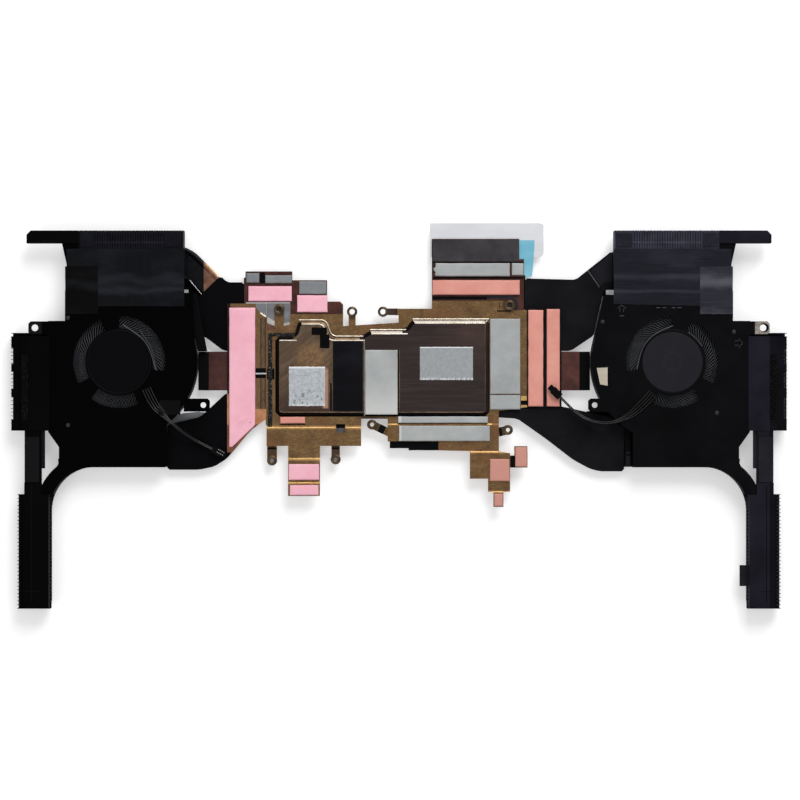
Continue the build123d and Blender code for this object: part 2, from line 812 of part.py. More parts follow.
def screw_tab(root, tip, width, rise):
    """A strip from the sheet to a screw ring, stepping down by its rise, as the solid and its hole."""
    run = hypot(tip[0] - root[0], tip[1] - root[1])
    heading = degrees(atan2(tip[1] - root[1], tip[0] - root[0]))
    under = [(0, frame_z), (run, frame_z)]
    if rise:
        high = frame_z + rise
        under = [(0, high), (run * tab_bend_start, high), (run * tab_bend_end, frame_z), (run, frame_z)]
    over = [(x, z + frame_thickness) for x, z in under[::-1]]
    strip = along_y(under + over, width / 2, -width / 2)
    ring = Pos(*tip) * prism(RegularPolygon(tab_radius, tab_sides), frame_z, frame_top)
    hole = Pos(*tip) * prism(Circle(tab_hole), 0, plateau_z)
    return Pos(*root) * Rot(0, 0, heading) * strip + ring, hole


# Screw tabs as root, tip, width of the strip and step down from the sheet
screw_tabs = [
    ((-20.2, 38.5), (-20.2, 44.7), 3.0, 0),
    ((0.8, 44.6), (-6.9, 44.7), 2.9, 0),
    ((43.5, 47.5), (47.7, 47.5), 3.0, 0),
    ((-51.6, 36.0), (-51.6, 45.8), 4.0, 0),
    ((-54.7, -12.4), (-54.7, -19.4), 4.2, cpu_step),
    ((-27.3, -12.4), (-27.3, -18.9), 3.6, cpu_step),
    ((-4.0, -7.5), (-11.6, -3.9), 3.4, gpu_step),
    ((40.0, -7.9), (46.9, -6.2), 3.8, gpu_step),
]
cpu_flat_front_y = -3.6
gpu_flat_front_y = -3.4
waist_front_y = -0.9


def spring_frame():
    """One stamped sheet: a frame round the plateau, two brackets that rise in steps and eight tabs."""
    flat = sheet_outline(
        (frame_left_x, cpu_flat_front_y),
        (frame_left_x, 36.3),
        (-46.9, 39.3),
        (-46.9, 43.7),
        (-24.1, 43.7),
        (-24.1, 38.5),
        (-0.2, 40.0),
        (-0.2, 46.0),
        (gpu_plate[0], 46.0),
        (gpu_plate[0], 49.4),
        (45.6, 49.4),
        (49.9, 45.4),
        (frame_right_x, 45.4),
        (frame_right_x, 8.7),
        (52.4, 8.7),
        (52.4, 3.2),
        (gpu_bracket_right_x, 2.0),
        (gpu_bracket_right_x, gpu_flat_front_y),
        (gpu_bracket_left_x, gpu_flat_front_y),
        (gpu_bracket_left_x, waist_front_y),
        (cpu_bracket_right_x, waist_front_y),
        (cpu_bracket_right_x, cpu_flat_front_y),
    )
    window = offset(plateau_outline(), window_gap, kind=Kind.INTERSECTION)
    sheet = prism(flat - window, frame_z, frame_top)

    cpu_rise = [
        (cpu_flat_front_y + sheet_lap, 0),
        (-4.4, 0),
        (-5.9, cpu_step),
        (-18.0, cpu_step),
        (-19.4, cpu_step + leg_step),
        (-28.4, cpu_step + leg_step),
        (-29.5, cpu_step + leg_step + tail_step),
        (cpu_leg[2], cpu_step + leg_step + tail_step),
    ]
    cpu_plan = rectangle((frame_left_x, cpu_bracket_right_x, cpu_bracket_front_y, 0)) + rectangle(cpu_leg)
    cpu_bracket = stepped_sheet(frame_left_x, cpu_bracket_right_x, cpu_rise)
    sheet += cpu_bracket & prism(cpu_plan - rectangle(cpu_slot), 0, fan_height)
    sheet -= prism(rectangle(cpu_slot), 0, fan_height)

    gpu_rise = [
        (gpu_flat_front_y + sheet_lap, 0),
        (gpu_flat_front_y, 0),
        (-4.2, gpu_step),
        (-15.2, gpu_step),
        (-16.2, gpu_step + leg_step),
        (-32.4, gpu_step + leg_step),
        (-33.4, gpu_step + leg_step + tail_step),
        (-39.3, gpu_step + leg_step + tail_step),
    ]
    gpu_plan = sheet_outline(
        (gpu_bracket_left_x, 0),
        (gpu_bracket_right_x, 0),
        (gpu_bracket_right_x, -15.4),
        (47.8, -16.2),
        (47.8, -17.2),
        (49.6, -17.2),
        (49.6, -13.2),
        (gpu_tongue_x, -13.2),
        (gpu_tongue_x, -22.4),
        (47.8, -22.4),
        (47.8, -32.8),
        (44.9, -32.8),
        (44.9, -39.3),
        (40.6, -39.3),
        (40.6, -32.8),
        (38.3, -32.8),
        (38.3, -27.2),
        (30.5, -27.2),
        (30.5, -15.4),
        (edge_foam[1], -15.0),
        (edge_foam[1], edge_foam[3]),
        (gpu_bracket_left_x, edge_foam[3]),
    )
    gpu_bracket = stepped_sheet(gpu_bracket_left_x, gpu_tongue_x, gpu_rise)
    sheet += gpu_bracket & prism(gpu_plan, 0, fan_height)

    for root, tip, width, rise in screw_tabs:
        tab, hole = screw_tab(root, tip, width, rise)
        sheet = sheet + tab - hole
    return sheet


def left_spreader():
    inner, outer = left_spreader_inner_x, left_spreader_outer_x
    outline = sheet_outline(
        (outer, left_spreader_front_y),
        (outer, left_spreader_rear_y),
        (inner, left_spreader_rear_y),
        (inner, left_spreader_front_y + spreader_bevel_rise),
        (inner - spreader_bevel_width, left_spreader_front_y + spreader_bevel_foot),
        (outer + spreader_foot_width, left_spreader_front_y),
    )
    return prism(outline, frame_z, frame_z + spreader_thickness)


def cpu_regulator_plate():
    """A stepped copper sheet whose front edge lies under the spring frame."""
    outline = sheet_outline(
        (-66.2, 48.8),
        (-66.2, 62.1),
        (-46.0, 62.1),
        (-46.0, 58.3),
        (-31.0, 58.3),
        (-31.0, 49.1),
        (-25.4, 49.1),
        (-24.1, 47.8),
        (-24.1, 42.4),
        (-46.9, 42.4),
        (-46.9, 48.8),
    )
    return prism(outline, solder_z, frame_z)


def gpu_regulator_plate():
    notch = rectangle((gpu_plate_notch_x, gpu_plate[1], gpu_plate_notch_y, gpu_plate[3]))
    return prism(rectangle(gpu_plate) - notch, solder_z, frame_z)


def film_tab():
    """The pull tab, narrower towards its free end."""
    x0, x1, y0, y1 = film_tab_box
    outline = sheet_outline((x0, y0), (x0, y1), (x1, y1), (x1 - film_tab_taper, y0))
    return prism(outline, solder_z - film_thickness, solder_z)


def left_pink_pad():
    outline = sheet_outline((-73.1, -13.5), (-73.1, 46.4), (-61.9, 46.4), (-61.9, -4.1), (-71.8, -13.5))
    level = frame_z + spreader_thickness
    return prism(outline, level, level + pad_thickness)


cpu_bracket_tops = (
    frame_top + cpu_step + leg_step,
    frame_top + cpu_step + leg_step + tail_step,
)
gpu_bracket_tops = (
    frame_top + gpu_step,
    frame_top + gpu_step + leg_step,
    frame_top + gpu_step + leg_step + tail_step,
)

# Pads as x from, x to, y from, y to, with the level that each lies on
pad_places = {
    "cpu_pink_pads": [
        ((-64.9, -46.2, 49.2, 55.7), frame_z),
        ((-43.9, -30.8, 44.5, 51.8), frame_z),
        ((-47.4, -34.4, -27.7, -20.9), cpu_bracket_tops[0]),
        ((-46.9, -34.6, -34.2, -29.9), cpu_bracket_tops[1]),
        ((-51.2, -40.4, -3.4, -0.6), frame_top),
    ],
    "cpu_grey_pads": [
        ((-65.8, -60.2, 57.2, 61.3), frame_z),
        ((-57.6, -46.2, 57.0, 60.4), frame_z),
        ((-43.0, -31.4, 52.3, 57.8), frame_z),
    ],
    "gpu_grey_pads": [
        ((-14.6, -0.6, 0.4, 28.2), plateau_z),
        ((39.2, 52.2, 9.2, 41.7), frame_top),
        ((39.2, 52.2, 2.6, 8.8), frame_top),
        ((-0.4, 38.3, -3.2, -0.4), frame_top),
        ((0.0, 39.1, -11.0, -4.4), gpu_bracket_tops[0]),
        ((14.6, 47.7, 60.0, 65.6), frame_z),
        ((48.6, 53.6, 60.4, 65.6), frame_z),
    ],
    "gpu_salmon_pads": [
        ((14.4, 52.0, 52.0, 58.3), frame_z),
        ((55.6, 62.1, 3.9, 45.4), frame_top),
        ((63.6, 69.2, 3.9, 45.8), frame_top),
        ((39.1, 47.5, -28.2, -18.7), gpu_bracket_tops[1]),
        ((50.0, 55.0, -22.0, -13.6), gpu_bracket_tops[1]),
        ((40.9, 44.6, -38.9, -33.6), gpu_bracket_tops[2]),
    ],
}


def black_tapes():
    """Thin black tapes on the chamber and the graphics regulator plate, and the foam at the edge."""
    return [
        slab(chamber_tape, plateau_z, tape_thickness),
        slab(bump_foam, plateau_z, tape_thickness) + slab(bump_foam_foot, plateau_z, tape_thickness),
        slab(gpu_plate_tape, frame_z, tape_thickness),
        slab(edge_foam, frame_z + gpu_step, frame_thickness),
    ]


def mid_plate(side):
    end_u = hub_u[side] - scroll_radius[side] - fit_gap - foam_width
    return slab((mid_plate_inner_u[side], end_u, *mid_plate_y), solder_z, arm_thickness)


def fan_foam(side):
    """The strip of foam that fills the gap between a middle plate and its fan."""
    wall_u = hub_u[side] - scroll_radius[side] - fit_gap
    return slab((wall_u - foam_width, wall_u, *mid_plate_y), solder_z, 2 * arm_thickness)


def wing(side, solid):
    """A piece of one wing, turned over to the left where it belongs there."""
    return mirror(solid, about=Plane.YZ) if mirrored[side] else solid


def wing_nodes(side):
    """Every piece that each wing has in a node of its own."""
    pieces = {
        "fan_base_plate": fan_base_plate(side),
        "fan_wall": fan_wall(side),
        "fan_cover": fan_cover(side),
        "impeller": impeller(side),
        "rotor_magnet": rotor_magnet(side),
        "shaft": shaft(side),
        "fan_lead": fan_lead(side),
        "fan_plug": fan_plug(side),
        "upper_pipe": upper_pipe(),
        "lower_pipe": lower_pipe(),
        "upper_arm_plate": arm_plate(side, upper_arm_points[side]),
        "lower_arm_plate": arm_plate(side, lower_arm_points[side]),
        "rear_fins": rear_fins(),
        "side_fins": side_fins(),
        "leg_fins": leg_fins(),
        "side_shroud": side_shroud(),
        "leg_shroud": leg_shroud(),
    }
    nodes = {f"{side}_{name}": wing(side, piece) for name, piece in pieces.items()}
    nodes[f"{side}_duct_tapes"] = Compound([wing(side, tape).solid() for tape in duct_tapes()])
    return nodes


def pair(make):
    """Two like pieces, one in each wing, kept as separate solids in one node."""
    return Compound([wing(side, make(side)).solid() for side in mirrored])


def middle_nodes():
    nodes = {
        "hub_labels": pair(hub_label),
        "fan_bearings": pair(bearing),
        "fan_stators": pair(stator),
        "bar_pipes": pair(lambda side: bar_pipe()),
        "end_baffles": pair(lambda side: end_baffle()),
        "mid_plates": pair(mid_plate),
        "fan_foams": pair(fan_foam),
        "vapour_chamber": vapour_chamber(),
        "spring_frame": spring_frame(),
        "cpu_compound": slab(cpu_print, plateau_z + pedestal_rise, compound_thickness),
        "gpu_compound": slab(gpu_print, plateau_z, compound_thickness),
        "black_tapes": Compound([tape.solid() for tape in black_tapes()]),
        "cpu_regulator_plate": cpu_regulator_plate(),
        "gpu_regulator_plate": gpu_regulator_plate(),
        "left_spreader": left_spreader(),
        "right_spreader": slab(right_spreader, frame_z, frame_thickness),
        "release_film": slab(release_film_box, solder_z - 2 * film_thickness, film_thickness),
        "film_tab": film_tab(),
        "left_pink_pad": left_pink_pad(),
    }
    for name, places in pad_places.items():
        nodes[name] = Compound([slab(box, level, pad_thickness).solid() for box, level in places])
    return nodes


os.makedirs("parts", exist_ok=True)
for name, shape in {**wing_nodes("left"), **wing_nodes("right"), **middle_nodes()}.items():
    export_step(shape, f"parts/{name}.step")
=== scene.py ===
"""Looks of a laptop cooling module: finishes for its solids, and its soft and fine pieces.

Lengths are millimetres until a piece is made, in the frame of the solids: X along the module, +Y to the
rear fins, +Z towards the motherboard side. Tones are the usual 0 to 255 values of a screen.
"""
import math

import bmesh
import bpy
import numpy as np
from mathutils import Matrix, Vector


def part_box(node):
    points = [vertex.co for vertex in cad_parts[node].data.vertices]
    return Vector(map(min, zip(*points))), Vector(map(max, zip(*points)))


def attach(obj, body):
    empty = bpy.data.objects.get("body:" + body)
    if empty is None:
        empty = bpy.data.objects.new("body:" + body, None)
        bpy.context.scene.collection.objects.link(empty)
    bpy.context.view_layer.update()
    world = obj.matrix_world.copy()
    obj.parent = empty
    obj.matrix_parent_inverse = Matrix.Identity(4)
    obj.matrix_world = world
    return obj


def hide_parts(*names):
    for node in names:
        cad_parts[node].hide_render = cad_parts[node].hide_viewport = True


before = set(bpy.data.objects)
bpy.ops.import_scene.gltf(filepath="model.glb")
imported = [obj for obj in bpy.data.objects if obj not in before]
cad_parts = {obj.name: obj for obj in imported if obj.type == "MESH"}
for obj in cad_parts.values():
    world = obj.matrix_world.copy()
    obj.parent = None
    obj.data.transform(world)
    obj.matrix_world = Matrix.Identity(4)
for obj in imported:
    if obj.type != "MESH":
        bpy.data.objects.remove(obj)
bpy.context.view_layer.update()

MM = 0.001
SIDES = {"left": -1, "right": 1}
MODULE = "module"

# Camera, floor and light
VIEW_CENTRE = (0.43, 6.67)
VIEW_WIDTH = 344.0
VIEW_LEVEL = 6.0  # of the plane that is as wide as the view
LENS = 100.0
SENSOR = 36.0
FLOOR_HALF = 4000.0  # past the top of the low views
FLOOR_POINTS = 41
FLOOR_DEPTH = 0.02
FLOOR_GLOW = 0.34
FLOOR_SHADED = (26, 30)  # distances from a motor over which the glow sets in
ROOM_GREY = (0.4, 0.4, 0.405, 1)
LAMPS = {  # place, size and power, in metres and watts
    "rear_window": ((0.35, 1.0, 0.8), 0.8, 13),
    "front_fill": ((-0.5, -0.7, 1.1), 1.2, 4),
}

# Wires of the fan leads
WIRE_RADIUS = 0.25
WIRE_SPREAD = 1.15
BUNDLE_HALF = 0.28
BUNDLE_CLOSES = (0.12, 0.52)  # shares of the lead's length
LEAD_SINK = 0.5  # of the spread wires under the line of the lead, down to the plate

# Levels of the solids, and the places of the motors
LOWEST, HIGHEST = 0, 1
FRAME_SHEET = 0.6


def height_of(node, corner):
    """The height of a node's lowest or highest corner."""
    return round(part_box(node)[corner][2] / MM, 3)


def middle_of(node):
    """The middle of a node, seen from above."""
    low, high = np.array(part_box(node)) / MM
    return tuple(np.round((low + high)[:2] / 2, 3).tolist())


SOLDER_Z = height_of("vapour_chamber", LOWEST)
FRAME_Z = height_of("spring_frame", LOWEST)
FRAME_TOP = round(FRAME_Z + FRAME_SHEET, 3)
SPREADER_TOP = height_of("left_spreader", HIGHEST)
PLATEAU_Z = height_of("gpu_compound", LOWEST)
BLADE_TOP = height_of("left_impeller", HIGHEST)
FAN_TOP = height_of("left_fan_base_plate", HIGHEST)
SHROUD_TOP = height_of("left_side_shroud", HIGHEST)
FIN_TOP = height_of("left_rear_fins", HIGHEST)
HUBS = {side: middle_of(f"{side}_shaft") for side in SIDES}
EAR_HOLE = (156.6, 37.7)

# Screw rings: free at the rear, seated on a plate, closed by a post, and free at the front
REAR_RINGS = [(-20.2, 44.7), (-6.9, 44.7)]
SEATED_RINGS = [(47.7, 47.5), (-51.6, 45.8)]
POSTED_RINGS = [(-54.7, -19.4), (-27.3, -18.9)]
FRONT_RINGS = [(-11.6, -3.9), (46.9, -6.2)]
WIDE_HOLE, NARROW_HOLE = 1.15, 0.85
RING_HOLES = {
    **dict.fromkeys(REAR_RINGS + SEATED_RINGS, WIDE_HOLE),
    **dict.fromkeys(POSTED_RINGS + FRONT_RINGS, NARROW_HOLE),
}

# Foot of the chamber's plateau, counter-clockwise from the front left, its runs at the rear, and the runs
# whose slopes are painted in shade
PLATEAU_FOOT = np.array([
    (-53.0, -0.2),
    (38.7, -0.2),
    (38.7, 41.3),
    (5.9, 41.3),
    (2.9, 36.7),
    (-12.4, 36.7),
    (-15.4, 33.9),
    (-29.0, 33.9),
    (-31.4, 40.9),
    (-43.0, 40.9),
    (-45.2, 33.9),
    (-53.0, 33.9),
])
PLATEAU_SLOPE = 1.6
GRAPHICS_RUN, MIDDLE_RUN, PROCESSOR_RUN, LEFT_RUN = slice(2, 4), slice(4, 6), slice(6, 10), slice(10, 12)
SHADED_RUNS = [slice(3, 5), slice(5, 7), slice(9, 12)]

# Sockets of a colour Mix node
MIX_INPUTS = (0, 6, 7)
MIX_RESULT = 2

# Patterns of the finishes
# The wing tones are painted light: darker on the left as shade, lighter on the right where more light falls.
WING_SHADING_CHANGE = 30  # distance from the middle at which a wing has its full tone
SPECK_RADIUS = 0.09  # as a share of a cell


def tone(red, green, blue):
    """A linear colour with full alpha from the 0 to 255 values of a screen."""
    share = np.array([red, green, blue]) / 255
    linear = np.where(share <= 0.04045, share / 12.92, ((share + 0.055) / 1.055) ** 2.4)
    return (*linear.tolist(), 1.0)


def scaled(shade, by):
    """A tone with all three values multiplied."""
    return tuple(by * value for value in shade)


class Finish:
    """A material whose colour, roughness and relief come from noise in the piece's own coordinates."""

    def __init__(self, name, metallic=0.0, specular=0.5):
        self.material = bpy.data.materials.new(name)
        self.material.use_nodes = True
        self.nodes = self.material.node_tree.nodes
        self.links = self.material.node_tree.links
        self.shader = self.nodes["Principled BSDF"]
        self.shader.inputs["Metallic"].default_value = metallic
        self.shader.inputs["Specular IOR Level"].default_value = specular
        self.place = self.nodes.new("ShaderNodeTexCoord").outputs["Object"]

    def feed(self, socket, value):
        """Links an input to another node's output, or sets it."""
        if isinstance(value, bpy.types.NodeSocket):
            self.links.new(value, socket)
        else:
            socket.default_value = value

    def add(self, kind, **inputs):
        """A node with its input sockets set or linked by name."""
        node = self.nodes.new(kind)
        for name, value in inputs.items():
            self.feed(node.inputs[name.replace("_", " ")], value)
        return node

    def mapped(self, stretch=(1, 1, 1), centre=(0, 0, 0), turn=0.0):
        """The coordinates about a centre, turned about Z by degrees and squeezed by stretch."""
        moved = self.add("ShaderNodeMapping", Vector=self.place, Location=[-value * MM for value in centre])
        turned = self.add("ShaderNodeMapping", Vector=moved.outputs[0], Rotation=(0, 0, -math.radians(turn)))
        return self.add("ShaderNodeMapping", Vector=turned.outputs[0], Scale=stretch).outputs[0]

    def axis(self, name):
        """The coordinate along X, Y or Z."""
        return self.add("ShaderNodeSeparateXYZ", Vector=self.place).outputs[name]

    def distance(self, centre):
        """The distance from a vertical line through a centre."""
        node = self.add("ShaderNodeVectorMath")
        node.operation = "LENGTH"
        self.feed(node.inputs[0], self.mapped((1, 1, 0), (*centre, 0)))
        return node.outputs["Value"]

    def noise(self, size, stretch=(1, 1, 1), detail=3.0, turn=0.0):
        """Smooth noise with features of about that size."""
        place = self.mapped(stretch, turn=turn)
        return self.add(
            "ShaderNodeTexNoise", Vector=place, Scale=1 / (size * MM), Detail=detail, Roughness=0.6
        ).outputs[0]

    def specks(self, size, share):
        """1 in a few small spots, 0 elsewhere."""
        cells = self.add("ShaderNodeTexVoronoi", Vector=self.place, Scale=1 / (size * MM))
        pick = self.add("ShaderNodeSeparateXYZ", Vector=cells.outputs["Color"]).outputs["X"]
        near = self.maths("LESS_THAN", cells.outputs["Distance"], SPECK_RADIUS)
        return self.times(near, self.maths("LESS_THAN", pick, share))

    def ramp(self, value, *stops):
        """Tones, or greys, spread over the values from 0 to 1."""
        node = self.add("ShaderNodeValToRGB", Fac=value)
        elements = node.color_ramp.elements
        while len(elements) < len(stops):
            elements.new(0.5)
        for element, (position, colour) in zip(elements, stops):
            element.position = position
            element.color = tone(*colour) if isinstance(colour, tuple) else (colour, colour, colour, 1)
        return node.outputs[0]

    def span(self, value, low, high, start=0.3, end=0.7):
        """A tone, or grey, at the start of a value's range and another at its end."""
        return self.ramp(value, (start, low), (end, high))

    def mix(self, share, first, second):
        """The second colour laid over the first by a share; each is a socket or a tone."""
        node = self.nodes.new("ShaderNodeMix")
        node.data_type = "RGBA"
        for number, value in zip(MIX_INPUTS, (share, first, second)):
            self.feed(node.inputs[number], tone(*value) if isinstance(value, tuple) else value)
        return node.outputs[MIX_RESULT]

    def maths(self, operation, *values):
        """One of Blender's sums on sockets and numbers."""
        node = self.nodes.new("ShaderNodeMath")
        node.operation = operation
        for socket, value in zip(node.inputs, values):
            self.feed(socket, value)
        return node.outputs[0]

    def times(self, product, *values):
        """The product of sockets and numbers."""
        for value in values:
            product = self.maths("MULTIPLY", product, value)
        return product

    def between(self, value, start, end):
        """0 at start, 1 at end and smooth in between."""
        node = self.add("ShaderNodeMapRange", Value=value, From_Min=start * MM, From_Max=end * MM)
        node.interpolation_type = "SMOOTHSTEP"
        return node.outputs[0]

    def within(self, value, rise, fall):
        """1 between two places, with a smooth rise up to the first and a smooth fall after the second."""
        return self.times(self.between(value, *rise), self.between(value, *fall))

    def sides(self, left, right, half):
        """A colour on the left and another on the right, changing over a half width about the middle; the
        finishes use it to paint one wing in shade and the other in light.
        """
        return self.mix(self.between(self.axis("X"), -half, half), left, right)

    def shaded_wings(self, cloud, left, right, change):
        """A tone on each wing that the cloud lowers and raises by a share; a darker left tone is painted
        shade and a lighter right tone painted light.
        """
        tones = [self.span(cloud, scaled(one, 1 - change), scaled(one, 1 + change)) for one in (left, right)]
        return self.sides(*tones, WING_SHADING_CHANGE)

    def finish(self, colour, roughness, relief=None, depth=0.02):
        """Links the colour, the roughness and a relief of that depth."""
        self.links.new(colour, self.shader.inputs["Base Color"])
        self.links.new(roughness, self.shader.inputs["Roughness"])
        if relief is not None:
            bump = self.add("ShaderNodeBump", Height=relief, Distance=depth * MM)
            self.links.new(bump.outputs[0], self.shader.inputs["Normal"])
        return self.material


# Finishes of the black parts


def worn_ears(coat, colour):
    """The coat is thin on the left-hand screw ear, and on the right-hand one it is off all round the hole."""
    x, y = coat.axis("X"), coat.axis("Y")
    rear = coat.between(y, 34.8, 35.2)
    colour = coat.mix(coat.times(coat.between(x, -153.0, -153.3), rear), colour, (22, 22, 24))
    bare = coat.times(
        coat.within(x, (152.5, 152.8), (159.0, 158.6)),
        rear,
        coat.between(y, 40.6, 40.2),
        coat.between(coat.distance(EAR_HOLE), 1.8, 2.1),
    )
    return coat.mix(bare, colour, coat.span(coat.noise(1.2, detail=4), (112, 106, 100), (168, 160, 150)))


def black_coat(name, left, right, specular, ears=False, rim=None):
    """Matt black coat on sheet metal: faint clouds and fine grain, with a tone for each wing, the left one
    painted darker as shade and the right one lighter as painted light.

    The screw ears may be worn. Beyond a rim, a distance outwards from the middle, the coat is deeper.
    """
    coat = Finish(name, specular=specular)
    grain = coat.noise(0.35, detail=2)
    colour = coat.shaded_wings(coat.noise(16, detail=4), left, right, 0.25)
    if rim:
        outside = coat.between(coat.maths("ABSOLUTE", coat.axis("X")), rim - 0.1, rim + 0.1)
        colour = coat.mix(coat.times(outside, 0.6), colour, (2, 2, 3))
    if ears:
        colour = worn_ears(coat, colour)
    return coat.finish(colour, coat.span(grain, 0.45, 0.6), grain, 0.03)


def moulded_black(name, shade, specular=0.1):
    """Moulded black plastic with a fine spark-eroded grain."""
    plastic = Finish(name, specular=specular)
    grain = plastic.noise(0.25)
    colour = plastic.span(plastic.noise(9), shade, scaled(shade, 1.4))
    return plastic.finish(colour, plastic.span(grain, 0.4, 0.58), grain)


def blade_black():
    """Moulded blades: black flanks, and top edges painted grey right under the plate as a highlight where
    they catch the light.
    """
    blade = Finish("blade_black", specular=0.15)
    cloud = blade.noise(7)
    flank = blade.span(cloud, (4, 4, 5), (9, 9, 11))
    wear_and_highlight = blade.span(cloud, (46, 47, 50), (76, 77, 81))
    # Painted highlight on the top edges of the blades.
    edge = blade.between(blade.axis("Z"), BLADE_TOP - 0.12, BLADE_TOP - 0.04)
    return blade.finish(blade.mix(edge, flank, wear_and_highlight), blade.span(cloud, 0.4, 0.55), cloud, 0.01)


def fin_black(name, left, right):
    """Black-oxide fins with a slight purple cast, and a tone for each wing: darker on the left as painted
    shade, lighter on the right as painted light.
    """
    fin = Finish(name, specular=0.03)
    cloud = fin.noise(5)
    return fin.finish(fin.shaded_wings(cloud, left, right, 0.18), fin.span(cloud, 0.38, 0.52), fin.noise(0.4), 0.01)


def ribbed_tape(name, shade, pale, turn, pitch, highlight_bands=(), stray=1.0):
    """Cloth-backed tape: fine ribs one way, soft clouds of wear and paler stripes of painted highlight across
    it.

    Each highlight stripe is the y of its middle and its half width; the stripes wander by the stray.
    """
    tape = Finish(name, specular=0.06)
    rib = tape.noise(pitch, (1, 0.06, 1), 3, turn)
    wear = tape.noise(11, (0.5, 1.2, 1), 4)
    colour = tape.span(rib, scaled(shade, 0.72), shade)
    colour = tape.mix(tape.span(wear, 0.0, 0.5, 0.5, 0.78), colour, pale)
    drift = tape.maths("SUBTRACT", tape.noise(9, (0.6, 1, 1), 4), 0.5)
    y = tape.maths("MULTIPLY_ADD", drift, stray * MM, tape.axis("Y"))
    for middle, half in highlight_bands:
        wear_and_highlight = tape.times(
            tape.within(y, (middle - half, middle), (middle + half, middle)),
            tape.span(wear, 0.35, 0.95),
        )
        colour = tape.mix(wear_and_highlight, colour, pale)
    return tape.finish(colour, tape.span(wear, 0.62, 0.45, 0.35), rib, 0.05)


def foam_black(name, shade, dust=0.0):
    """Open black foam: small pores all over and, where it has picked up dust, pale grains."""
    foam = Finish(name, specular=0.05)
    pore = foam.noise(0.5, detail=4)
    colour = foam.span(pore, scaled(shade, 0.5), shade, 0.35, 0.65)
    if dust:
        grains = foam.span(foam.noise(0.7, detail=5), 0.0, dust, 0.56, 0.64)
        colour = foam.mix(grains, colour, (128, 122, 112))
    return foam.finish(colour, foam.span(pore, 0.75, 0.95), pore, 0.12)


def hub_film(left, right):
    """The label discs over the motors: satin film with a faint pressed ring, painted near black on the left
    as shade and lighter on the right, with paler clouds and a paler ring there, as painted light.
    """
    film = Finish("hub_film", specular=0.05)
    cloud = film.noise(8)
    share = film.between(film.axis("X"), -5, 5)
    colour = film.mix(share, left, right)
    # Painted light: the paler clouds and ring tint fall on the right disc only.
    colour = film.mix(film.times(film.span(cloud, 0.0, 0.2), share), colour, (46, 46, 52))
    rings = [film.within(film.distance(hub), (3.0, 3.5), (4.3, 3.8)) for hub in HUBS.values()]
    colour = film.mix(film.times(rings[1], 0.05), colour, (70, 72, 78))
    return film.finish(colour, film.span(cloud, 0.45, 0.55), film.maths("ADD", *rings), 0.04)


def wire_cover():
    """Glossy black covers of the wires, a little uneven."""
    cover = Finish("wire_cover")
    cloud = cover.noise(1.4)
    colour = cover.span(cloud, (6, 6, 7), (16, 16, 18))
    return cover.finish(colour, cover.span(cloud, 0.24, 0.36), cloud, 0.01)


# Finishes of the metals


def bronze_sheet():
    """Rolled bronze: fine grain along X, cloudy tarnish, redder patches and darker tabs round the screws."""
    bronze = Finish("bronze_sheet", metallic=0.85)
    grain = bronze.noise(0.45, (0.3, 1.2, 1), 4)
    cloud = bronze.noise(6, detail=5)
    colour = bronze.ramp(grain, (0.28, (110, 85, 56)), (0.5, (135, 106, 70)), (0.74, (172, 139, 95)))
    colour = bronze.mix(bronze.span(cloud, 0.0, 0.8, 0.42, 0.72), colour, (90, 66, 46))
    colour = bronze.mix(bronze.span(bronze.noise(13), 0.0, 0.4, 0.5, 0.68), colour, (132, 86, 58))
    for ring in RING_HOLES:
        start, end = (6.8, 5.2) if ring in POSTED_RINGS else (4.2, 2.6)
        near = bronze.times(bronze.between(bronze.distance(ring), start, end), 0.75)
        colour = bronze.mix(near, colour, (62, 49, 40))
    return bronze.finish(colour, bronze.span(cloud, 0.36, 0.52), grain, 0.012)


def dark_copper(name, low, high, right_light_gain=1.0):
    """Oxidised copper plate with lighter clouds where it is worn; the right wing is painted brighter by the
    right_light_gain, as painted light.
    """
    copper = Finish(name, metallic=0.6, specular=0.3)
    cloud = copper.noise(6, detail=5)
    grain = copper.noise(0.5, (1, 0.25, 1))
    tones = [copper.span(cloud, scaled(low, by), scaled(high, by), end=0.72) for by in (1.0, right_light_gain)]
    wear_and_highlight = copper.span(grain, 0.0, 0.35, 0.35, 0.75)
    colour = copper.mix(wear_and_highlight, copper.sides(*tones, 5), scaled(high, 1.25))
    return copper.finish(colour, copper.span(cloud, 0.36, 0.52), grain, 0.012)


def spreader_bronze():
    """The left spreader: brown bronze with a dark outer edge, and raw copper in front on both long edges."""
    sheet = Finish("spreader_bronze", metallic=0.8)
    grain = sheet.noise(0.5, (1.2, 0.25, 1), 4)
    cloud = sheet.noise(5, detail=4)
    brown = sheet.span(grain, (108, 82, 56), (146, 114, 80))
    raw = sheet.span(cloud, (186, 122, 84), (222, 164, 120))
    corner = sheet.span(cloud, (118, 74, 58), (156, 104, 82))
    x, y = sheet.axis("X"), sheet.axis("Y")
    edge = sheet.mix(sheet.between(y, 9.6, 8.8), (38, 27, 24), raw)
    colour = sheet.mix(sheet.between(x, -72.4, -72.8), brown, edge)
    bare = sheet.times(sheet.between(x, -62.4, -62.0), sheet.between(y, 3.0, 2.6), 0.85)
    colour = sheet.mix(bare, colour, raw)
    colour = sheet.mix(sheet.between(y, -3.6, -4.2), colour, corner)
    return sheet.finish(colour, sheet.span(cloud, 0.34, 0.5), grain, 0.012)


def wrapped_pipe():
    """Copper heat pipe, wrapped in black film beyond its bare stretch."""
    pipe = Finish("wrapped_pipe", metallic=0.5, specular=0.2)
    cloud = pipe.noise(3, detail=5)
    copper = pipe.span(cloud, (86, 60, 50), (148, 108, 86))
    film = pipe.span(cloud, (8, 8, 11), (18, 18, 24))
    colour = pipe.mix(pipe.between(pipe.axis("X"), -84.0, -84.4), copper, film)
    return pipe.finish(colour, pipe.span(cloud, 0.34, 0.5), cloud)


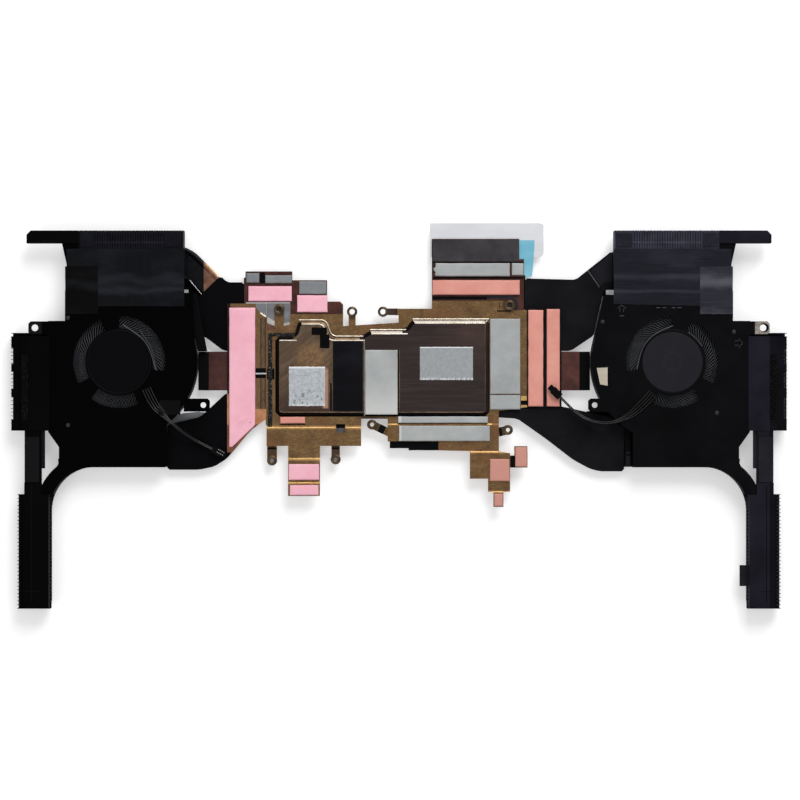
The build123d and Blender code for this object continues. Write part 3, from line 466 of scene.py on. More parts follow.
def chamber_copper():
    """Brushed chamber: dark purple-brown with streaks along X, and mottled bronze on the processor side.

    The slopes to the left and the front are painted near black as shade, and a warm stain lies behind the
    processor.
    """
    chamber = Finish("chamber_copper", metallic=0.75, specular=0.3)
    streak = chamber.noise(1.3, (0.06, 1, 1), 5)
    slant = chamber.noise(1.5, (0.1, 1, 1), 4, 40)
    cloud = chamber.noise(7, detail=5)
    x, y = chamber.axis("X"), chamber.axis("Y")

    dark = chamber.ramp(streak, (0.25, (55, 46, 45)), (0.5, (61, 51, 50)), (0.8, (71, 60, 59)))
    red = chamber.times(chamber.between(x, 12, 36), chamber.between(y, 16, 38), chamber.span(cloud, 0.3, 0.9))
    dark = chamber.mix(red, dark, (90, 71, 63))
    warm = chamber.ramp(slant, (0.25, (84, 68, 56)), (0.55, (104, 86, 70)), (0.8, (136, 114, 94)))
    processor = chamber.between(x, -22, -30)
    colour = chamber.mix(processor, dark, warm)

    mottled = chamber.span(chamber.noise(1.5, detail=5), 0.1, 0.75, 0.38, 0.62)
    ember = chamber.times(chamber.between(chamber.distance((-37.5, 24.5)), 10, 3), mottled)
    colour = chamber.mix(ember, colour, (160, 122, 82))
    front_brown = chamber.times(processor, chamber.between(y, 16, 3), 0.7)
    colour = chamber.mix(front_brown, colour, (70, 52, 48))
    peach = chamber.times(
        chamber.within(x, (-33.2, -32.3), (-30.0, -30.9)),
        chamber.within(y, (2.8, 3.4), (21.2, 19.2)),
        0.65,
    )
    colour = chamber.mix(peach, colour, (212, 166, 140))
    scratch = chamber.span(chamber.noise(0.9, (0.03, 1, 1), 5, 1), 0.0, 0.35, 0.66, 0.74)
    colour = chamber.mix(scratch, colour, (128, 114, 110))

    # Painted shade: the slopes that face away from the light are near black.
    front = chamber.within(y, (-1.2, -0.4), (1.5, 1.2))
    painted_shade = chamber.maths("MAXIMUM", chamber.between(x, -51.3, -51.6), front)
    colour = chamber.mix(chamber.times(painted_shade, 0.96), colour, (10, 8, 8))
    return chamber.finish(colour, chamber.span(streak, 0.42, 0.56), streak, 0.01)


def bright_rim(name, low, high, metallic=1.0):
    """Polished metal, a little tarnished in places: the eyelets, and thin beads, skins and lines, many of
    them painted highlights.
    """
    rim = Finish(name, metallic=metallic)
    cloud = rim.noise(4, detail=4)
    return rim.finish(rim.span(cloud, low, high, end=0.6), rim.span(cloud, 0.32, 0.46))


def bare_steel():
    """Bright steel with a drawn grain along X."""
    steel = Finish("bare_steel", metallic=1.0)
    grain = steel.noise(0.4, (0.2, 1, 1), 4)
    colour = steel.span(grain, (150, 150, 152), (206, 206, 210))
    return steel.finish(colour, steel.span(grain, 0.28, 0.42), grain, 0.01)


# Finishes of pads, prints and films


def soft_pad(name, shade, pale, spotted, fades=()):
    """Silicone pad: soft clouds, a faint weave of its liner and a few dark specks.

    Each fade takes the pads between two x over to another tint from one y to another; the grey pads' fade is
    a painted sheen.
    """
    pad = Finish(name, specular=0.3)
    fine = pad.noise(0.6)
    colour = pad.span(pad.noise(10), shade, pale, 0.28, 0.72)
    x, y = pad.axis("X"), pad.axis("Y")
    for x0, x1, start, end, tint in fades:
        across = pad.within(x, (x0 - 0.1, x0), (x1 + 0.1, x1))
        colour = pad.mix(pad.times(across, pad.between(y, start, end)), colour, tint)
    if spotted:
        colour = pad.mix(pad.specks(3.2, 0.06), colour, scaled(shade, 0.5))
    pad.shader.inputs["Subsurface Weight"].default_value = 0.12
    pad.shader.inputs["Subsurface Scale"].default_value = 0.6 * MM
    return pad.finish(colour, pad.span(fine, 0.45, 0.62), fine, 0.015)


def thermal_print(name, node, low, high, ridge, cracked):
    """A dried print of heat-conducting paste: a pale ridge at the rear edge and crumbs at the front one.

    A cracked print has scraped lines and, towards the front, dark pits; the other has a few dark specks.
    """
    (_, front, _), (_, rear, _) = solid_boxes(node)[0]
    paste = Finish(name, specular=0.35)
    grain = paste.noise(0.8, (1, 0.5, 1), 5)
    colour = paste.span(grain, low, high)
    y = paste.axis("Y")
    if cracked:
        lines = paste.span(paste.noise(0.55, (0.1, 1, 1), 4), 0.0, 0.45, 0.56, 0.68)
        colour = paste.mix(lines, colour, (120, 126, 134))
        pits = paste.span(paste.noise(1.4, (1, 0.8, 1), 6), 0.0, 1.0, 0.57, 0.66)
        forward = paste.maths("MULTIPLY_ADD", paste.between(y, 14, 6), 0.8, 0.12)
        colour = paste.mix(paste.times(pits, forward), colour, (66, 68, 74))
    else:
        colour = paste.mix(paste.specks(1.6, 0.1), colour, (90, 94, 100))
    crumbs = paste.times(paste.between(y, front + 1.3, front + 0.3), paste.span(grain, 0.0, 0.8, 0.4, 0.55))
    edges = paste.maths("MAXIMUM", paste.between(y, rear - ridge, rear - 0.6 * ridge), crumbs)
    colour = paste.mix(edges, colour, (228, 229, 230))
    return paste.finish(colour, paste.span(grain, 0.36, 0.56), grain, 0.03)


def thin_film(name, shade, pale):
    """Plastic film or thin sheet: a milky tint with faint flow lines."""
    film = Finish(name)
    flow = film.noise(9, (0.3, 1, 1))
    return film.finish(film.span(flow, shade, pale), film.span(flow, 0.28, 0.4), flow)


# Shapes: each gives the points and the faces of a closed shell

SHARP_ANGLE = 40.0
CORNER_STEPS = 8
WAVE_COUNT = 7


def quads(rows, columns, wrap_rows=False, wrap_columns=False):
    """The faces of a grid of points, counted row by row, turned up where columns run +X and rows +Y."""
    row = np.arange(rows if wrap_rows else rows - 1)[:, None]
    column = np.arange(columns if wrap_columns else columns - 1)[None, :]
    next_row, next_column = (row + 1) % rows, (column + 1) % columns
    corners = [row * columns + column, row * columns + next_column]
    corners += [next_row * columns + next_column, next_row * columns + column]
    return np.stack(corners, axis=-1).reshape(-1, 4)


def closed_sheet(top, bottom):
    """A closed shell between two grids of points that meet, or are bridged, along their rims."""
    rows, columns = top.shape[:2]
    count = rows * columns
    points = np.concatenate([top.reshape(-1, 3), bottom.reshape(-1, 3)])
    faces = [quads(rows, columns), quads(rows, columns)[:, ::-1] + count]
    index = np.arange(count).reshape(rows, columns)
    rim = np.concatenate([index[0, :-1], index[:-1, -1], index[-1, :0:-1], index[:0:-1, 0]])
    after = np.roll(rim, -1)
    faces.append(np.stack([rim + count, after + count, after, rim], axis=-1))
    return points, np.concatenate(faces).tolist()


def loft(sections, ring=False):
    """Closed outlines carried along a path: capped at both ends, or joined into a ring."""
    count, around = sections.shape[:2]
    faces = quads(count, around, ring, True).tolist()
    if not ring:
        faces.append(list(range(around - 1, -1, -1)))
        faces.append(list(range((count - 1) * around, count * around)))
    return sections.reshape(-1, 3), faces


def headings(path):
    """The direction of a path at each of its points, one long."""
    ahead = np.gradient(path, axis=0)
    return ahead / np.linalg.norm(ahead, axis=1, keepdims=True)


def inset(outline, amount):
    """An outline, counter-clockwise, moved inwards along the bisector of each corner."""
    edge = np.roll(outline, -1, axis=0) - outline
    edge = edge / np.linalg.norm(edge, axis=1, keepdims=True)
    normal = np.stack([-edge[:, 1], edge[:, 0]], axis=1)
    before = np.roll(normal, 1, axis=0)
    share = 1 + np.sum(normal * before, axis=1, keepdims=True)
    return outline + amount * (normal + before) / share


def block(outline, bottom, top, edge=0.1):
    """A flat block with a given outline whose long edges are broken by a small bevel."""
    outline = np.asarray(outline, float)
    following = np.roll(outline, -1, axis=0)
    if np.sum(outline[:, 0] * following[:, 1] - following[:, 0] * outline[:, 1]) < 0:
        outline = outline[::-1]
    levels = [(edge, bottom), (0, bottom + edge), (0, top - edge), (edge, top)]
    sections = [np.column_stack([inset(outline, d), np.full(len(outline), z)]) for d, z in levels]
    return loft(np.stack(sections))


def slab(x0, x1, y0, y1, bottom, height, edge=0.05):
    """A small flat rectangular fitting with broken edges."""
    return block([(x0, y0), (x1, y0), (x1, y1), (x0, y1)], bottom, bottom + height, edge)


def spun(profile, centre, steps):
    """The points of a profile of (radius, height), turn by turn about a vertical line through a centre."""
    radius, height = np.asarray(profile, float).T
    turn = np.linspace(0, 2 * math.pi, steps, endpoint=False)[:, None]
    x = centre[0] + np.cos(turn) * radius
    y = centre[1] + np.sin(turn) * radius
    return np.stack([x, y, np.broadcast_to(height, x.shape)], axis=-1)


def revolved(profile, centre, steps=24):
    """A solid of revolution: a profile turned about a vertical line and capped at both ends."""
    return loft(spun(profile, centre, steps).swapaxes(0, 1))


def turned_ring(profile, centre, steps=40):
    """A ring: a closed profile turned about a vertical line."""
    return loft(spun(profile, centre, steps), ring=True)


def tube(path, radius, sides=10):
    """A round section carried along a path, level sideways at every point."""
    path = np.asarray(path, float)
    ahead = headings(path)
    sideways = np.cross(ahead, (0, 0, 1))
    sideways /= np.linalg.norm(sideways, axis=1, keepdims=True)
    upwards = np.cross(sideways, ahead)
    turn = np.linspace(0, 2 * math.pi, sides, endpoint=False)[None, :, None]
    around = np.cos(turn) * sideways[:, None] + np.sin(turn) * upwards[:, None]
    return loft(path[:, None] + radius * around)


def strip(path, width, bottom, top):
    """A flat strip of even width along a line of (x, y) points, with a slightly crowned top."""
    path = np.asarray(path, float)
    ahead = headings(path)
    normal = np.stack([-ahead[:, 1], ahead[:, 0]], axis=1)
    section = [(-0.5, 0.0), (0.5, 0.0), (0.5, 0.7), (0.3, 1.0), (-0.3, 1.0), (-0.5, 0.7)]
    edges = [
        np.column_stack([path + normal * width * side, np.full(len(path), bottom + (top - bottom) * rise)])
        for side, rise in section
    ]
    return loft(np.stack(edges, axis=1))


def softened(points, radius):
    """A closed outline whose corners are parabolas between the points a radius away on both sides."""
    corners = np.asarray(points, float)
    back = np.roll(corners, 1, axis=0) - corners
    onward = np.roll(corners, -1, axis=0) - corners
    start = corners + back * np.minimum(radius / np.linalg.norm(back, axis=1, keepdims=True), 0.45)
    end = corners + onward * np.minimum(radius / np.linalg.norm(onward, axis=1, keepdims=True), 0.45)
    share = np.linspace(0, 1, CORNER_STEPS)[None, :, None]
    middle = 2 * share * (1 - share) * corners[:, None]
    return ((1 - share) ** 2 * start[:, None] + middle + share**2 * end[:, None]).reshape(-1, 2)


def open_line(points, radius, level):
    """A level line of (x, y, z) points through corners rounded as parabolas, open at both ends."""
    inner = softened(points, radius)[CORNER_STEPS:-CORNER_STEPS]
    line = np.vstack([points[0], inner, points[-1]])
    return np.column_stack([line, np.full(len(line), level)])


def waves(x, y, size, seed):
    """A smooth random height from -1 to 1: seven sine waves of about that length in all directions."""
    random = np.random.default_rng(seed)
    total = np.zeros(np.broadcast(x, y).shape)
    for heading, phase, stretch in random.uniform(0, 1, (WAVE_COUNT, 3)):
        turn = 2 * math.pi * heading
        run = (x * math.cos(turn) + y * math.sin(turn)) / (size * (0.6 + 0.9 * stretch))
        total += np.sin(2 * math.pi * (run + phase))
    return total / WAVE_COUNT


def smooth_step(value, start, end):
    """0 before start, 1 after end, with no kink."""
    share = np.clip((value - start) / (end - start), 0, 1)
    return share * share * (3 - 2 * share)


def cut_sheet(x, front, rear, surface, thickness, rows):
    """A thin sheet between the edges y = front(x) and y = rear(x), laid on a surface z(x, y)."""
    share = np.linspace(0, 1, rows)[:, None]
    y = front(x) + (rear(x) - front(x)) * share
    wide = np.broadcast_to(x, y.shape)
    level = surface(wide, y)
    return closed_sheet(np.stack([wide, y, level + thickness], -1), np.stack([wide, y, level], -1))


def piece(name, shells, finish, stands_for=()):
    """One object from closed shells: seams merged, normals outwards, riding on the module."""
    starts = np.cumsum([0] + [len(points) for points, _ in shells[:-1]])
    points = np.concatenate([points for points, _ in shells]) * MM
    faces = [
        [int(start) + corner for corner in face]
        for start, (_, group) in zip(starts, shells)
        for face in group
    ]
    mesh = bpy.data.meshes.new(name)
    mesh.from_pydata(points.tolist(), [], faces)
    work = bmesh.new()
    work.from_mesh(mesh)
    bmesh.ops.remove_doubles(work, verts=work.verts, dist=1e-7)
    bmesh.ops.recalc_face_normals(work, faces=work.faces)
    work.to_mesh(mesh)
    work.free()
    mesh.polygons.foreach_set("use_smooth", np.ones(len(mesh.polygons), bool))
    mesh.set_sharp_from_angle(angle=math.radians(SHARP_ANGLE))
    mesh.materials.append(finish)
    made = bpy.data.objects.new(name, mesh)
    bpy.context.scene.collection.objects.link(made)
    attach(made, MODULE)
    if stands_for:
        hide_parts(*stands_for)
    return made


def solid_boxes(node):
    """The lowest and highest corners of each separate solid in a node.

    Triangles that share a place get the lowest label among them, until no label changes.
    """
    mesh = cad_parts[node].data
    places = np.empty(len(mesh.vertices) * 3)
    mesh.vertices.foreach_get("co", places)
    places = np.round(places.reshape(-1, 3) / MM, 3)
    corners = np.empty(len(mesh.loops), int)
    mesh.loops.foreach_get("vertex_index", corners)
    unique, place_of = np.unique(places, axis=0, return_inverse=True)
    triangles = place_of.reshape(-1)[corners].reshape(-1, 3)
    label = np.arange(len(unique))
    while True:
        lowest = label[triangles].min(axis=1)
        joined = label.copy()
        np.minimum.at(joined, triangles.ravel(), np.repeat(lowest, 3))
        joined = joined[joined]
        if np.array_equal(joined, label):
            break
        label = joined
    return [(unique[label == one].min(axis=0), unique[label == one].max(axis=0)) for one in np.unique(label)]


def dress(finish, *nodes):
    """Gives solids a finish."""
    for node in nodes:
        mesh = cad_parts[node].data
        mesh.materials.clear()
        mesh.materials.append(finish)


# Pads

TORN_LEFT = 14.6  # left end of the grey pad that is torn there
TEAR = 1.5
SALMON_FADE = (-90, 90, -10, -13, (206, 146, 132))  # x from and to, y from and to, tint
# Painted sheen: the middle grey pad turns paler towards its front.
GREY_PAD_SHEEN = (-16, 1, 18, -1, (204, 205, 203))


def edge_run(length, thickness, rounding, steps):
    """Places across a pad and its height there: an upright wall, a rounded edge, then a flat top."""
    start = rounding * np.array([0, 0, 0.06, 0.25, 0.6, 1.0])
    rise = thickness * np.array([0, 0.45, 0.72, 0.89, 0.98, 1.0])
    middle = np.linspace(rounding, length - rounding, steps)[1:-1]
    places = np.concatenate([start, middle, (length - start)[::-1]])
    return places, np.concatenate([rise, np.full(len(middle), thickness), rise[::-1]])


def pad_shell(low, high, seed, right_edge=None, ragged=0.0, pitch=1.2, fold=None):
    """A soft pad in a box: wall, rounded edge and a top that swells a little, with uneven cut edges.

    right_edge gives the x of the right side at each y; ragged tears the left end; fold adds to the height.
    """
    width, depth, thickness = high - low
    rounding = min(0.7, 0.2 * min(width, depth))
    across, rise_x = edge_run(width, thickness, rounding, max(6, int(width / pitch)))
    along, rise_y = edge_run(depth, thickness, rounding, max(6, int(depth / pitch)))
    share, y = np.meshgrid(across / width, low[1] + along)
    right = high[0] if right_edge is None else right_edge(y)
    x = low[0] + (right - low[0]) * share
    height = np.minimum(rise_x[None, :], rise_y[:, None])
    inner = height / thickness
    x = x + 0.1 * waves(x * 0, y, 9, seed) * (share - 0.5) * 2
    y = y + 0.1 * waves(x, y * 0, 9, seed + 1)
    x = x + ragged * (1 - share) ** 6 * (0.6 + waves(x * 0, y, 1.6, seed + 2))
    top = low[2] + height + 0.05 * thickness * inner * (waves(x, y, 14, seed + 3) - 1)
    if fold is not None:
        top = top + inner * fold(x, y)
    return closed_sheet(np.stack([x, y, top], -1), np.stack([x, y, np.full_like(x, low[2])], -1))


def pads(node, finish, seed, name=None, fronts=None):
    """The pads of a node, or those with the given front edges, as one soft piece that stands for it."""
    boxes = [box for box in solid_boxes(node) if fronts is None or np.isclose(box[0][1], fronts).any()]
    shells = [
        pad_shell(low, high, seed + 10 * number, ragged=TEAR if np.isclose(low[0], TORN_LEFT) else 0.0)
        for number, (low, high) in enumerate(boxes)
    ]
    piece(name or node + "_soft", shells, finish, stands_for=[node])


def left_pad(finish):
    """The long pink pad: its front corner is cut off at a slant, and a crease runs along the cut.

    The crease is a bell in the coordinates along and across a line at 31 degrees.
    """
    (low, high), = solid_boxes("left_pink_pad")
    cut_rear, cut_width = -4.1, 1.3
    crease_x, crease_y = -67.0, -1.8
    cosine, sine = 0.86, 0.51
    crease_height, crease_half, crease_reach = 0.32, 0.9, 2.4

    def right_edge(y):
        """A straight slant up to the rear end of the cut, and upright behind it."""
        share = np.clip((y - low[1]) / (cut_rear - low[1]), 0, 1)
        return low[0] + cut_width + (high[0] - low[0] - cut_width) * share

    def fold(x, y):
        """The bell of the crease at a place."""
        across = (y - crease_y) * cosine - (x - crease_x) * sine
        along = (x - crease_x) * cosine + (y - crease_y) * sine
        return crease_height * np.exp(-((across / crease_half) ** 2) - (along / crease_reach) ** 2)

    shell = pad_shell(low, high, 5, right_edge, pitch=0.5, fold=fold)
    made = piece("left_pink_pad_soft", [shell], finish, stands_for=["left_pink_pad"])


pink = soft_pad("pink_pad", (243, 177, 193), (255, 195, 209), True)
salmon = soft_pad("salmon_pad", (216, 144, 130), (229, 161, 147), True, [SALMON_FADE])
grey = soft_pad("grey_pad", (158, 161, 161), (180, 183, 182), False, [GREY_PAD_SHEEN])
dim_grey = soft_pad("dim_grey_pad", (118, 122, 125), (142, 146, 148), False)
left_pad(pink)
pads("cpu_pink_pads", pink, 100, fronts=[49.2, 44.5, -27.7, -34.2])
pads("cpu_pink_pads", salmon, 150, "cpu_salmon_pad_soft", fronts=[-3.4])
pads("cpu_grey_pads", dim_grey, 200)
pads("gpu_grey_pads", grey, 300)
pads("gpu_salmon_pads", salmon, 400)

# Fan leads: routes from the hub to the plug, in metres

LEAD_ROUTES = {
    "left": [
        (-0.1082, 0.0116, 0.0099),
        (-0.1058, 0.0058, 0.0099),
        (-0.1015, 0.0006, 0.0099),
        (-0.0950, -0.0054, 0.0099),
        (-0.0873, -0.0110, 0.0048),
        (-0.0804, -0.0144, 0.0048),
    ],
    "right": [
        (0.1088, 0.0096, 0.0099),
        (0.1036, 0.0037, 0.0099),
        (0.0972, -0.0011, 0.0099),
        (0.0899, -0.0034, 0.0099),
        (0.0821, -0.0024, 0.0074),
        (0.0757, 0.0015, 0.0057),
        (0.0714, 0.0058, 0.0065),
        (0.0692, 0.0080, 0.0065),
    ],
}


def route_line(side):
    """Points along the smooth line of a lead, read from its spline."""
    curve = bpy.data.curves.new(f"{side}_route", "CURVE")
    curve.dimensions = "3D"
    curve.resolution_u = 10
    spline = curve.splines.new("NURBS")
    spline.points.add(len(LEAD_ROUTES[side]) - 1)
    spline.points.foreach_set("co", np.array([(*point, 1.0) for point in LEAD_ROUTES[side]]).ravel())
    spline.order_u = 3
    spline.use_endpoint_u = True
    holder = bpy.data.objects.new(f"{side}_route", curve)
    mesh = bpy.data.meshes.new_from_object(holder)
    line = np.empty(len(mesh.vertices) * 3)
    mesh.vertices.foreach_get("co", line)
    bpy.data.objects.remove(holder)
    bpy.data.curves.remove(curve)
    bpy.data.meshes.remove(mesh)
    return line.reshape(-1, 3)


def fan_lead(side, finish):
    """Four wires that fan out on the plate and close into a square bundle on the way to the plug."""
    line = route_line(side)
    path = line / MM
    step = np.linalg.norm(np.diff(path, axis=0), axis=1)
    run = np.concatenate([[0], np.cumsum(step)]) / step.sum()
    sideways = np.cross(np.gradient(path, axis=0), (0, 0, 1))
    sideways /= np.linalg.norm(sideways, axis=1, keepdims=True)
    closed = smooth_step(run, *BUNDLE_CLOSES)[:, None]
    shells = []
    for wire in range(4):
        spread = (wire - 1.5) * WIRE_SPREAD
        packed = BUNDLE_HALF if wire > 1 else -BUNDLE_HALF
        lift = BUNDLE_HALF if wire in (1, 2) else -BUNDLE_HALF
        offset = (1 - closed) * spread + closed * packed
        height = -(1 - closed) * LEAD_SINK + closed * lift
        shells.append(tube(path + offset * sideways + height * np.array([0, 0, 1]), WIRE_RADIUS))
    made = piece(f"{side}_fan_wires", shells, finish, stands_for=[f"{side}_fan_lead"])


wires = wire_cover()
for side in SIDES:
    fan_lead(side, wires)

# Tapes, films, prints and foams

TAPE_SPAN = (92.0, 142.4)  # distances outwards from the middle
PATCH_SPAN = (129.0, 143.0)
TAPE_SEEDS = {"left": 31, "right": 47}
TAPE_SLANTS = {"left": 0.0, "right": 0.026}
FILM_SPAN = (13.3, 60.2, 62.35)  # x of the left end, of the start of the rounded corner and of the right end
FILM_CORNER = 2.2
FILM_THICKNESS = 0.1
DUCT_TAPE, FLAT_TAPE = 0.12, 0.14  # thicknesses
PATCH_LIFT = 0.14  # of the patch over the underside of the tape
PRINT_PITCH = 0.3


def duct_tape(side, finish, patch_finish):
    """The tape from the fin tops down to the fan plate, and the patch on its end.

    The tape's height is a smooth step from the plate to the fins, with two bell-shaped ripples along the
    ends of the span and random waves on top. The patch follows it just above.
    """
    seed, slant = TAPE_SEEDS[side], TAPE_SLANTS[side]

    def surface(x, y):
        """The height of the tape at a place."""
        level = FAN_TOP + (FIN_TOP - FAN_TOP) * smooth_step(y, 52.5, 61.5) + 0.03
        ripple = 0.16 * np.exp(-(((y - 59.3) / 1.0) ** 2)) + 0.13 * np.exp(-(((y - 53.4) / 0.8) ** 2))
        uneven = 0.8 + 0.4 * waves(x, y * 0, 13, seed)
        return level + ripple * uneven + 0.03 * (1 + waves(x, y, 6, seed + 1))

    def front(x):
        """A slanting straight edge with small random waves."""
        return 46.9 - slant * (np.abs(x) - 130) + 0.2 * waves(x, x * 0, 7, seed + 2)

    def rear(x):
        """A straight edge with small random waves."""
        return 71.4 + 0.12 * waves(x, x * 0, 9, seed + 3)

    def patch_front(x):
        """A straight edge with small random waves."""
        return 43.5 + 0.15 * waves(x, x * 0, 5, seed + 4)

    def patch_rear(x):
        """A straight edge."""
        return np.full_like(x, 63.9)

    def patch_surface(x, y):
        """The underside of the tape, lifted by a little more than its thickness."""
        return surface(x, y) + PATCH_LIFT

    nodes = [f"{side}_duct_tapes"]
    x = np.sort(SIDES[side] * np.linspace(*TAPE_SPAN, 110))
    shell = cut_sheet(x, front, rear, surface, DUCT_TAPE, 60)
    sheet = piece(f"{side}_duct_tape", [shell], finish, nodes)
    x = np.sort(SIDES[side] * np.linspace(*PATCH_SPAN, 40))
    shell = cut_sheet(x, patch_front, patch_rear, patch_surface, DUCT_TAPE, 50)
    patch = piece(f"{side}_duct_patch", [shell], patch_finish, nodes)


def release_film(finish):
    """The clear film under the graphics plate, with rounded free corners and a rear edge that curls up.

    The corners are circular arcs, and the curl is a smooth step with random waves along the edge.
    """
    start, bend, end = FILM_SPAN
    x = np.concatenate([np.linspace(start, bend, 50), np.linspace(bend, end, 14)[1:]])
    corner = FILM_CORNER - np.sqrt(FILM_CORNER**2 - np.clip(x - bend, 0, FILM_CORNER) ** 2)

    def level(x, y):
        """Nearly flat with random waves, and the curl at the rear."""
        curl = 0.3 * smooth_step(y, 77, 83) * (0.6 + 0.4 * waves(x, y * 0, 25, 62))
        return 2.88 + 0.02 * waves(x, y, 11, 61) + curl

    shell = cut_sheet(x, lambda x: 68.2 + corner, lambda x: 82.9 - 0.5 * corner, level, FILM_THICKNESS, 40)
    piece("release_film_sheet", [shell], finish, stands_for=["release_film"])


def pull_tab(finish):
    """The blue tab on the film: its right end is cut to a parabola and its front right corner droops."""
    bend, end = 57.1, 58.45
    x = np.linspace(45.0, end, 40)

    def front(x):
        """A straight edge, then the parabola to the right end."""
        return 59.8 + 14.5 * (np.clip(x - bend, 0, end - bend) / (end - bend)) ** 2

    def level(x, y):
        """Nearly flat with random waves, less the droop, a product of steps."""
        return 3.0 + 0.03 * waves(x, y, 7, 63) - 0.4 * smooth_step(x, 54, 58.5) * smooth_step(y, 72, 60)

    shell = cut_sheet(x, front, lambda x: np.full_like(x, 75.6), level, FILM_THICKNESS, 40)
    piece("film_pull_tab", [shell], finish, stands_for=["film_tab"])


def paste_print(node, finish, seed, stray):
    """A printed patch of paste: an outline that strays a little, a soft edge and a grainy top."""
    (low, high), = solid_boxes(node)
    width, depth, thickness = high - low
    columns, rows = int(width / PRINT_PITCH), int(depth / PRINT_PITCH)
    share_x, share_y = np.meshgrid(np.linspace(0, 1, columns), np.linspace(0, 1, rows))
    x, y = low[0] + width * share_x, low[1] + depth * share_y
    inner = np.minimum(np.minimum(x - low[0], high[0] - x), np.minimum(y - low[1], high[1] - y))
    x = x + stray * waves(x * 0, y, 2.2, seed) * (2 * share_x - 1)
    y = y + stray * waves(x, y * 0, 2.2, seed + 1) * (2 * share_y - 1)
    top = low[2] + thickness * (0.3 + 0.7 * smooth_step(inner, 0, 0.5))
    top = top + 0.03 * waves(x, y, 1.3, seed + 2) * smooth_step(inner, 0, 0.6)
    shell = closed_sheet(np.stack([x, y, top], -1), np.stack([x, y, np.full_like(x, low[2])], -1))
    piece(node + "_print", [shell], finish, stands_for=[node])


def flat_tape(name, x0, x1, y0, y1, level, seed, finish):
    """A thin tape pressed flat, with faint bubbles under it and slightly uneven ends."""
    shell = cut_sheet(
        np.linspace(x0, x1, 60),
        lambda x: y0 + 0.1 * waves(x, x * 0, 6, seed),
        lambda x: y1 + 0.1 * waves(x, x * 0, 6, seed + 1),
        lambda x, y: level + 0.02 * (1 + waves(x, y, 8, seed + 2)),
        FLAT_TAPE,
        60,
    )
    piece(name, [shell], finish, stands_for=["black_tapes"])


def foam(name, boxes, finish, seed, stands_for=()):
    """Foam cut to boxes of x from, x to, y from, y to, bottom and top, with soft edges."""
    shells = [
        pad_shell(np.array([x0, y0, bottom]), np.array([x1, y1, top]), seed + number)
        for number, (x0, x1, y0, y1, bottom, top) in enumerate(boxes)
    ]
    piece(name, shells, finish, stands_for=stands_for)


release_film(thin_film("release_film", (216, 217, 220), (230, 231, 234)))
pull_tab(thin_film("film_tab", (114, 182, 205), (152, 208, 223)))
cpu_look = thermal_print("processor_print", "cpu_compound", (163, 168, 173), (198, 202, 205), 0.9, True)
paste_print("cpu_compound", cpu_look, 71, 0.16)
gpu_look = thermal_print("graphics_print", "gpu_compound", (146, 150, 153), (164, 168, 171), 0.5, False)
paste_print("gpu_compound", gpu_look, 81, 0.06)
# The paler stripes on these tapes and patches are painted highlights where the tape bends and slopes down to
# the plate.
duct_tape(
    "left",
    ribbed_tape("left_duct_tape", (17, 18, 22), (36, 39, 45), 0, 0.7, [(58.0, 3.4), (53.8, 2.6)], 7),
    ribbed_tape("left_duct_patch", (4, 4, 5), (24, 25, 28), 0, 1.2, [(55.5, 3.0)], 8),
)
duct_tape(
    "right",
    ribbed_tape("right_duct_tape", (33, 33, 42), (54, 54, 64), 90, 0.7, [(59.4, 2.0), (53.2, 1.3)], 2),
    ribbed_tape("right_duct_patch", (51, 51, 60), (92, 92, 100), 90, 0.9, [(57.6, 4.0)], 5),
)
streaked = ribbed_tape("streaked_tape", (15, 15, 20), (30, 31, 38), 90, 0.5)
flat_tape("chamber_tape", -28.4, -15.7, 1.9, 31.9, PLATEAU_Z, 91, streaked)
charcoal = black_coat("charcoal_tape", (58, 55, 58), (58, 55, 58), 0.1)
flat_tape("plate_tape", 14.6, 51.6, 66.4, 75.8, FRAME_Z, 95, charcoal)
open_foam = foam_black("open_foam", (13, 13, 15))
foam(
    "bump_foam",
    [(-37.5, -31.0, 34.7, 37.9, PLATEAU_Z, 5.95), (-34.0, -29.9, 29.0, 34.9, PLATEAU_Z, 5.95)],
    open_foam, 101, ["black_tapes"],
)
foam(
    "edge_foam",
    [(-4.0, 4.3, -14.1, -10.9, FRAME_TOP, 5.1), (4.1, 17.1, -15.0, -10.9, FRAME_TOP, 5.1)],
    open_foam, 103, ["black_tapes"],
)
fan_foam_boxes = [np.array(box).T.ravel() for box in solid_boxes("fan_foams")]
foam("fan_foam_strips", fan_foam_boxes, open_foam, 105, ["fan_foams"])

# Finishes of the solids that stay

# One coat on both wings: each left tone is painted shade and each right tone painted light.
plate = black_coat("plate_black", (2, 2, 3), (13, 13, 15), 0.02, ears=True)
arm = black_coat("arm_black", (7, 7, 9), (22, 22, 25), 0.03)
shroud = black_coat("shroud_black", (4, 4, 5), (28, 27, 35), 0.03, rim=158.9)
moulding = moulded_black("moulding_black", (6, 6, 7), 0.06)
wall = moulded_black("wall_black", (8, 8, 9), 0.01)
blades = blade_black()
fins = fin_black("fin_black", (23, 23, 29), (53, 53, 64))
steel = bare_steel()
bronze = bronze_sheet()
maroon = dark_copper("maroon_copper", (52, 31, 28), (92, 56, 48))
wrapped = wrapped_pipe()
for side in SIDES:
    dress(plate, f"{side}_fan_base_plate", f"{side}_fan_cover")
    dress(moulding, f"{side}_fan_plug")
    dress(wall, f"{side}_fan_wall")
    dress(blades, f"{side}_impeller")
    dress(arm, f"{side}_upper_arm_plate", f"{side}_lower_arm_plate", f"{side}_lower_pipe")
    dress(shroud, f"{side}_side_shroud", f"{side}_leg_shroud")
    dress(fins, f"{side}_rear_fins", f"{side}_side_fins", f"{side}_leg_fins")
    dress(steel, f"{side}_shaft", f"{side}_rotor_magnet")
dress(wrapped, "left_upper_pipe")
dress(arm, "right_upper_pipe", "right_spreader")
dress(shroud, "end_baffles", "bar_pipes")
